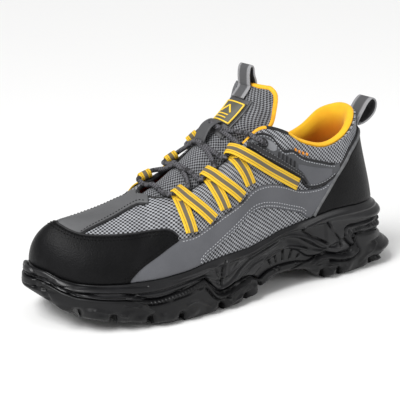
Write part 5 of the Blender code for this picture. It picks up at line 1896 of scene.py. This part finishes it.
    def collar_tab(self) -> None:
        """Plain orange bars on the collar's outer side."""
        first, last, low, high = COLLAR_TAB
        low, high = low + 0.012, high - 0.012
        places = np.linspace(first, last, 9)
        for number, (a, b) in enumerate(zip(places[::2], places[1::2]), 1):
            bar = table("q low high", *((q, low, high) for q in (a, (a + b) / 2, b)))
            piece = Overlay(f"collar_bar_{number}", bar, ORANGE_FILM, 0.0010, 0.0004, 60, 8, on_rim=False)
            on_shoe(piece.build(), "collar_tab", *(["collar_tab"] if number == 1 else []))

    def build(self) -> None:
        """All the overlays."""
        self.toe_cap()
        self.counter()
        self.vamp()
        for side in Side:
            self.side_panels(side)
            self.quarter(side)
        self.collar_tab()


@dataclass
class Lining:
    """The padded collar lining, rolled over the edge, and the insole."""

    def build(self) -> None:
        """Both pieces."""
        self.collar()
        self.insole()

    def collar(self) -> None:
        """Padded roll: a closed section down the upper's inside, carried round the heel."""
        rows = np.linspace(-COLLAR_END, COLLAR_END, 170)
        tucked = -(WALL + GAP)
        outer = [skin(rows, v, tucked) for v in (0.52, 0.66, 0.80, 0.93, 1.0)]
        edge = rib(rows, 1.0)
        up = unit(edge - rib(rows, 0.96))
        off = skin_normal(rows, np.full_like(rows, 0.97))
        ends = (0.30 + 0.70 * quarter_round((COLLAR_END - np.abs(rows)) / 0.6))[:, None]
        roll = [
            edge - off * WALL * 0.6 + up * LINING_ROLL * 0.45 * ends,
            edge - off * (WALL + LINING * 0.30) + up * LINING_ROLL * 1.05 * ends,
            edge - off * (WALL + LINING * 0.80) + up * LINING_ROLL * 0.75 * ends,
        ]
        inner = [
            skin(rows, v, tucked - LINING * depth * ends[:, 0])
            for v, depth in ((0.95, 1.10), (0.88, 1.12), (0.80, 1.0), (0.68, 0.75), (0.52, 0.4))
        ]
        section = np.stack(outer + roll + inner, 1)
        section = np.concatenate([section, section[:, :1]], 1)
        section = corner_cut(section, 2)
        section[0] = section[0].mean(axis=0)
        section[-1] = section[-1].mean(axis=0)
        # Millimetres below the roll's top: they set where the lining's painted shade falls.
        length = arc_lengths(section, 1)
        top = np.argmax(section[..., 2], axis=1)
        depth = length - length[np.arange(len(length)), top][:, None]
        along = arc_lengths(section, 0).mean(axis=1, keepdims=True) + 0 * depth
        uv = np.stack([along, depth], -1)
        piece = add_surface("collar_roll", section[:, :-1], LINING_YELLOW, (False, True), uv)
        on_shoe(piece, "collar_lining", "collar_lining")

    def insole(self) -> None:
        """Footbed pad, cupped at its edges."""
        rows = np.linspace(0.02, TIP - 0.02, 150)
        bed = round_loop(LAST["bed"], LAST["bed"], rows) * BED
        inset = np.full(rows.shape, -(WALL + SEAT + 0.0004))
        spread = np.linspace(1, -1, 25)
        faces = []
        for level, height in ((0.0, GAP * 0.5), (1.0, INSOLE)):
            share = share_at_height(rows, bed + height)
            outer = skin(rows, share, inset)
            inner = skin(across(rows), share_at_height(across(rows), bed + height), inset)
            grid = (outer + inner)[:, None] / 2 + (outer - inner)[:, None] / 2 * spread[None, :, None]
            edge = np.clip((1 - np.abs(spread)) / 0.05, 0, 1)
            sunk = 0.0012 * (1 - spread**2) + 0.0008 * (1 - edge)
            grid[..., 2] = (bed + height)[:, None] - level * sunk[None, :]
            faces.append(grid)
        section = np.concatenate([faces[0], faces[1][:, ::-1]], 1)
        section[0] = section[0].mean(axis=0)
        section[-1] = section[-1].mean(axis=0)
        piece = add_surface("insole_pad", section, INSOLE_CLOTH, (False, True))
        on_shoe(piece, "insole", "insole")


@dataclass
class Tongue:
    """The padded tongue with its binding, middle strip, badge, keeper and pull loop."""

    rows: int = 110
    columns: int = 49
    channel_depth: float = 0.0007
    binding_radius: float = 0.0017
    strip_half: float = 0.47
    keeper_lift: float = 0.0006
    keeper_rise: float = 0.0046

    def build(self) -> None:
        """All of the tongue's pieces."""
        self.pad()
        self.binding()
        self.strip()
        self.badge()
        self.keeper()
        self.pull()

    def pad(self) -> None:
        """Mesh pad: thick in the middle, thin at its edges, with a soft channel beside the strip."""
        row = np.linspace(0.0, TONGUE_TOP, self.rows)[:, None]
        t = np.sin(np.linspace(-math.pi / 2, math.pi / 2, self.columns))[None, :]
        end = (TONGUE_TOP - row) / 0.25
        thickness = TONGUE * (0.35 + 0.65 * quarter_round(1 - np.abs(t)))
        thickness = thickness * (0.4 + 0.6 * quarter_round(end))
        sink = self.channel_depth * bump_along(np.abs(t), 0.52, 0.12)
        outer, inner = tongue_point(row, t, -sink), tongue_point(row, t, -thickness)
        section, uv = folded(outer, inner)
        bottom, top = (section[k] * 0 + section[k].mean(axis=0) for k in (0, -1))
        section = np.concatenate([bottom[None], section, top[None]])
        uv = np.concatenate([uv[:1], uv, uv[-1:]])
        piece = add_surface("tongue_pad", section, TONGUE_MESH, (False, True), uv)
        on_shoe(piece, "tongue", "tongue")

    def binding(self) -> None:
        """Yellow binding up the tongue's outer edge and over its top to behind the pull loop."""
        row = np.linspace(3.4, TONGUE_TOP - 0.12, 60)
        outer = tongue_point(row, 1.0, -0.0009)
        over = np.linspace(0.93, -0.45, 30)
        top = tongue_point(TONGUE_TOP + 0.03, over, -0.0012)
        path = smooth_path(np.concatenate([outer, top])[::3], 3)
        piece = add_tube("tongue_binding", path, self.binding_radius, YELLOW_EDGE, (1.0, 0.0, 0.4), 10)
        on_shoe(piece, "tongue")

    def plate(
        self, name: str, place: Triple, lift: float, thickness: float, finish: Finish
    ) -> bpy.types.Object:
        """Plate on the tongue's middle that follows its curve, with rounded borders.

        Args:
            name: the piece's name.
            place: first and last row, and half width.
            lift: its height over the tongue.
            thickness: its thickness.
            finish: the piece's finish.

        Returns:
            The object.
        """
        first, last, half = place
        row = np.linspace(first, last, 40)[:, None]
        t = np.linspace(-half, half, 25)[None, :]
        near = np.minimum((half - np.abs(t)) * 0.024, np.minimum(row - first, last - row) * 0.011)
        outer = tongue_point(row, t, lift + thickness * quarter_round(near / 0.0005))
        section, uv = folded(outer, tongue_point(row, t, lift))
        return add_surface(name, section, finish, (False, True), uv)

    def strip(self) -> None:
        """Smooth strip up the tongue's middle, with a light line along each edge."""
        piece = self.plate("tongue_strip", (4.3, 7.08, self.strip_half), -0.0004, 0.0007, BADGE_EDGE)
        on_shoe(piece, "tongue")
        for side in Side:
            row = np.linspace(4.4, 7.05, 50)
            path = tongue_point(row, self.strip_half * side.value, 0.0003)
            line = add_tube(f"tongue_strip_line_{side.word}", path, 0.0006, PIPING, (1.0, 0.0, 0.5), 8)
            on_shoe(line, "tongue")

    def badge(self) -> None:
        """Plate with a yellow frame and a plain chevron with two bars."""
        first, last, half = BADGE
        piece = self.plate("tongue_badge_plate", BADGE, 0.0004, 0.0010, BADGE_FILM)
        on_shoe(piece, "tongue_badge", "tongue_badge")
        low, high, side = first + 0.10, last - 0.10, half - 0.045
        corners = ((low, -side), (low, side), (high, side), (high, -side), (low, -side))
        self.line("badge_frame", corners, 0.0006)
        centre = (first + last) / 2
        wide = 0.20
        foot, point = centre - 0.10, centre + 0.38
        self.line("badge_chevron", ((foot, -wide), (point, 0.0), (foot, wide)), 0.0007)
        for name, row in (("badge_bar_1", centre - 0.28), ("badge_bar_2", centre - 0.48)):
            self.line(name, ((row, -wide), (row, wide)), 0.0005)

    def line(self, name: str, corners: Sequence[tuple[float, float]], radius: float) -> None:
        """Raised yellow line on the badge through row and width places.

        Args:
            name: the piece's name.
            corners: rows and places across.
            radius: its radius.
        """
        places = np.concatenate([np.linspace(a, b, 24) for a, b in zip(corners, corners[1:])])
        path = tongue_point(places[:, 0], places[:, 1], 0.0013)
        on_shoe(add_tube(name, path, radius, YELLOW_FILM, (1.0, 0.0, 0.6), 8), "tongue_badge")

    def keeper(self) -> None:
        """Wide webbing keeper from below the badge, over the laces' crossing and back to the tongue."""
        first, last, width = KEEPER
        row = np.linspace(first, last, 50)
        share = (row - first) / (last - first)
        lift = self.keeper_lift + self.keeper_rise * np.sin(math.pi * share) ** 0.7
        path = tongue_point(row, 0.0, lift)
        side = np.broadcast_to(np.array((0.0, 1.0, 0.0)), path.shape)
        off = unit(np.cross(side, np.gradient(path, axis=0)))
        piece = add_band("lace_keeper_web", path, side, off, width * LAST_HALF, KEEPER_THICKNESS, BADGE_EDGE)
        on_shoe(piece, "lace_keeper", "lace_keeper")

    def pull(self) -> None:
        """Pull loop of striped webbing, sewn to both faces of the tongue."""
        hold = np.linspace(PULL_HOLD, TONGUE_TOP - 1, 2)
        front = [tongue_point(row, 0.0, SEAT + PULL_THICKNESS) for row in hold]
        back = [tongue_point(row, 0.0, -TONGUE - SEAT - 2 * PULL_THICKNESS) for row in hold[::-1]]
        arc = [(station_x(x), 0.0, z * INSTEP) for x, z in TONGUE_PULL]
        pull_band("tongue_pull_web", front + arc + back, TONGUE_PULL_WIDTH, "tongue_pull_loop")


def pull_band(name: str, points: Sequence[Any], width: float, node: str) -> None:
    """Pull loop: a band across the shoe's middle along points, with a near-black sheet of painted shade on
    its inside.

    Args:
        name: the piece's name.
        points: places along the band.
        width: its width.
        node: the solid's name, which is also the slot's.
    """
    path = smooth_path(points, 8)
    side = np.broadcast_to(np.array((0.0, 1.0, 0.0)), path.shape)
    off = unit(np.cross(unit(np.gradient(path, axis=0)), side))
    on_shoe(add_band(name, path, side, off, width, PULL_THICKNESS, PULL_WEB), node, node)
    # Painted shade: a thin near-black sheet on the loop's inner face.
    inside = path + off * PULL_THICKNESS
    inner = add_band(name + "_inside", inside[6:-6], side[6:-6], off[6:-6], width * 0.9, 0.0002, LOOP_INSIDE_SHADE)
    on_shoe(inner, node)


@dataclass
class Loops:
    """The six webbing loops beside the throat, and the heel's pull loop."""

    def throat_frame(self, q: float) -> tuple[Array, Array, Array, Array]:
        """Lace's centre in a loop beside the throat's edge, with directions off, up and along the edge.

        Args:
            q: the loop's station.

        Returns:
            The centre and the three directions.
        """
        at = np.array([q])
        base = rib(at, LOOP_TOP)[0]
        off = unit(skin(at, LOOP_TOP, 0.01)[0] - base)
        ahead = row_number(at)[0] < row_number(at + 0.05)[0]
        along = unit(rib(at - 0.05, LOOP_TOP)[0] - rib(at + 0.05, LOOP_TOP)[0]) * (1 if ahead else -1)
        along = unit(along - off * np.dot(along, off))
        up = unit(base - rib(at, LOOP_TOP - 0.03)[0])
        up = unit(up - along * np.dot(up, along) - off * np.dot(up, off))
        return base + off * (SEAT + GAP + WEBBING + SLEEVE_RADIUS), off, up, along

    def leg(self, first: Any, last: Any, lift: Array) -> tuple[Array, Array, Array]:
        """Places on the upper below a straight line between two points of its grid.

        Newton steps move q and v until the way from the surface to the line has no part along it.

        Args:
            first: station and share of the first end.
            last: those of the last end.
            lift: heights over the upper.

        Returns:
            The places, and the directions off and across.
        """
        share = np.linspace(0, 1, len(lift))
        q, v = (first[k] + (last[k] - first[k]) * share for k in (0, 1))
        goal = rib(q[:1], v[:1]) * (1 - share[:, None]) + rib(q[-1:], v[-1:]) * share[:, None]
        for _ in range(12):
            miss = goal - rib(q, v)
            run = (rib(q + 0.01, v) - rib(q - 0.01, v)) / 0.02
            up = (rib(q, v + 0.005) - rib(q, v - 0.005)) / 0.01
            a, b, c = ((m * n).sum(-1) for m, n in ((run, run), (run, up), (up, up)))
            e, f = (miss * run).sum(-1), (miss * up).sum(-1)
            q = q + (e * c - f * b) / (a * c - b * b)
            v = np.clip(v + (a * f - b * e) / (a * c - b * b), 0.05, 0.985)
        place, off = skin(q, v, lift), skin_normal(q, v)
        return place, off, unit(np.cross(off, unit(np.gradient(place, axis=0))))

    def loop(self, number: int, side: Side) -> None:
        """One loop: a lower leg, and an upper leg that folds round the lace and ends under itself.

        Args:
            number: the loop's row in the table.
            side: the side of the shoe.
        """
        foot, top_q, end = LOOPS[number]
        foot, end = ((side.station(q), v) for q, v in (foot, end))
        top_q = side.station(top_q)
        centre, off, _, _ = self.throat_frame(top_q)
        lowest = SEAT + GAP
        base = lowest if number == len(LOOPS) - 1 else SEAT + OVERLAY + GAP
        word = f"{side.word}_{number + 1}"
        place, normal, sideways = self.leg(foot, (top_q, LOOP_TOP - 0.01), np.linspace(base, lowest, 22))
        under = add_band(f"web_under_{word}", place, sideways, normal, WEBBING_WIDTH, WEBBING, LOOP_WEB)
        on_shoe(under, f"lace_loop_{word}", f"lace_loop_{word}")
        share = np.linspace(0, 1, 36)
        highest = lowest + WEBBING + 2 * SLEEVE_RADIUS
        lift = base + WEBBING + (highest - base - WEBBING) * np.clip((share - 0.45) / 0.55, 0, 1) ** 1.6
        place, normal, sideways = self.leg(end, (top_q, LOOP_TOP), lift)
        ahead = unit(place[-1] - place[-4])
        ahead = unit(ahead - off * np.dot(ahead, off))
        turns = np.linspace(0.12, math.pi, 13)[:, None]
        outward = off * np.cos(turns) + ahead * np.sin(turns)
        arc = centre + outward * SLEEVE_RADIUS
        back = arc[-1] - ahead * np.array((0.003, 0.006))[:, None]
        path = np.concatenate([place, arc, back])
        thick = np.concatenate([normal, outward, -off[None], -off[None]])
        across_band = np.broadcast_to(np.cross(off, ahead), arc.shape)
        sides = unit(np.concatenate([sideways, across_band, across_band[:2]]))
        for _ in range(3):
            sides[1:-1] = unit(sides[:-2] + 2 * sides[1:-1] + sides[2:])
            thick[1:-1] = unit(thick[:-2] + 2 * thick[1:-1] + thick[2:])
        piece = add_band(f"web_loop_{word}", path, sides, thick, WEBBING_WIDTH, WEBBING, LOOP_WEB)
        on_shoe(piece, f"lace_loop_{word}")

    def build(self) -> None:
        """All the loops."""
        for side in Side:
            for number in range(len(LOOPS)):
                self.loop(number, side)
        arc = [(station_x(x), 0.0, z * INSTEP) for x, z in HEEL_PULL]
        pull_band("heel_pull_web", arc, PULL_WIDTH, "heel_pull_loop")


@dataclass
class Laces:
    """The lace: two ends from the first bar through the loops to the top eyelets."""

    loops: Loops

    def over_edge(self, side: Side) -> list[Array]:
        """The lace's last places: over the throat's edge, down the quarter and into the top eyelet.

        Args:
            side: the side of the shoe.

        Returns:
            The places.
        """
        edge_q, outer_q, outer_v = LACE_OVER_EDGE
        edge_q, outer_q, hole_q = (side.station(np.array([q])) for q in (edge_q, outer_q, TOP_EYELET[0]))
        edge = rib(edge_q, 1.0)[0]
        up = unit(edge - rib(edge_q, 0.96)[0])
        off = unit(skin(edge_q, 0.97, 0.01)[0] - skin(edge_q, 0.97, 0.0)[0])
        lift = SEAT + OVERLAY + LACE_RADIUS + 4 * GAP
        return [
            edge + up * (LACE_RADIUS + 3 * GAP) + off * (LACE_RADIUS + 3 * GAP),
            skin(outer_q, outer_v, lift)[0],
            skin(hole_q, TOP_EYELET[1], lift)[0],
            skin(hole_q, TOP_EYELET[1], -WALL * 0.5)[0],
        ]

    def path(self, start: Side) -> Array:
        """Path of one end of the lace.

        Args:
            start: the side to which it first goes.

        Returns:
            The path.
        """
        frames = {side: [self.loops.throat_frame(side.station(top)) for _, top, _ in LOOPS] for side in Side}
        lift = LACE_RADIUS + 3 * SEAT
        way = start.value
        points = [tongue_point(FIRST_BAR, way * t, lift + 2 * GAP) for t in (0.0, CROSSING_REACH)]
        side = start
        for row, (middle_row, change) in enumerate(CROSSINGS):
            middle, _, _, along = frames[side][row]
            points += [middle + along * WEBBING_WIDTH * reach for reach in (-0.8, -0.3, 0.3, 0.8)]
            for t in (CROSSING_REACH, 0.0, -CROSSING_REACH):
                raised = LACE_RADIUS * (0.9 if start is Side.LATERAL and t == 0 else 0.0)
                at = middle_row - change * t / CROSSING_REACH
                points.append(tongue_point(at, side.value * t, lift + raised))
            side = Side(-side.value)
        return smooth_path(points + self.over_edge(side), 9)

    def build(self) -> None:
        """Both ends as braided cords."""
        for number, start in enumerate(Side):
            path = self.path(start)
            piece = add_tube(f"lace_{start.word}", path, LACE_RADIUS, LACE, (1.0, 0.05, 0.6), 14)
            on_shoe(piece, "laces", *(["laces"] if number == 0 else []))


@dataclass
class Studio:
    """Floor, soft lights and the camera at the photograph's angle."""

    target: Triple = (0.115, 0.0, 0.065)
    place: Triple = (0.5697, 0.6843, 0.3052)
    lens: float = 108.0
    floor_reach: float = 6.0
    world_strength: float = 0.50
    sun_strength: float = 2.0
    sun_angle: float = 0.5
    sun_aim: Triple = (-0.55, -0.10, -0.85)

    def build(self) -> None:
        """Everything round the shoe."""
        self.floor()
        self.world()
        self.sun()
        self.area("key_light", (0.95, 0.35, 0.75), 0.35, 5.0)
        self.area("fill_light", (-0.5, 1.0, 0.5), 0.5, 3.0)
        self.camera()

    def floor(self) -> None:
        """Pale floor, larger than any view of the shoe."""
        paint = Paint("studio_floor")
        paint.set(Base_Color=(0.93, 0.93, 0.925), Roughness=0.6)
        mesh = bpy.data.meshes.new("studio_floor")
        signs = ((-1, -1), (1, -1), (1, 1), (-1, 1))
        corners = [(x * self.floor_reach, y * self.floor_reach, 0) for x, y in signs]
        mesh.from_pydata(corners, [], [(0, 1, 2, 3)])
        mesh.materials.append(paint.material)
        piece = link("studio_floor", mesh)

    def area(self, name: str, place: Triple, size: float, power: float) -> None:
        """Square soft light that looks at the shoe.

        Args:
            name: the light's name.
            place: its place.
            size: its width.
            power: its power in watts.
        """
        light = bpy.data.lights.new(name, "AREA")
        light.shape = "SQUARE"
        light.size = size
        light.energy = power
        made = link(name, light)
        made.location = place
        made.rotation_euler = look_rotation(np.array(self.target) - np.array(place))

    def world(self) -> None:
        """Even white light from all round."""
        world = bpy.data.worlds.new("studio_world")
        world.use_nodes = True
        background = world.node_tree.nodes["Background"]
        background.inputs[0].default_value = (1.0, 1.0, 1.0, 1.0)
        background.inputs[1].default_value = self.world_strength
        bpy.context.scene.world = world

    def sun(self) -> None:
        """Sun with soft shadows, from the front and above."""
        light = bpy.data.lights.new("soft_sun", "SUN")
        light.energy = self.sun_strength
        light.angle = self.sun_angle
        link("soft_sun", light).rotation_euler = look_rotation(np.array(self.sun_aim))

    def camera(self) -> None:
        """Camera that frames the one shoe."""
        lens = bpy.data.cameras.new("camera")
        lens.lens = self.lens
        lens.sensor_width = 36.0
        lens.sensor_fit = "HORIZONTAL"
        lens.clip_start = 0.01
        made = link("camera", lens)
        made.location = self.place
        made.rotation_euler = look_rotation(np.array(self.target) - np.array(self.place))
        bpy.context.scene.camera = made


def look_rotation(aim: Array) -> Triple:
    """Euler angles of a camera or light that looks along a direction with +Z up."""
    flat = math.hypot(aim[0], aim[1])
    return (math.atan2(flat, -aim[2]), 0.0, math.atan2(-aim[0], aim[1]))


def main() -> None:
    """Builds the shoe from the sole up, then the studio."""
    logging.basicConfig(level=logging.INFO, format="%(name)s: %(message)s")
    loops = Loops()
    builders = (Sole(), Upper(), Panels(), Lining(), Tongue(), loops, Laces(loops), Studio())
    for builder in builders:
        log.info("building %s", type(builder).__name__)
        builder.build()
    bpy.context.scene.view_settings.view_transform = "Standard"


if __name__ == "__main__":
    main()
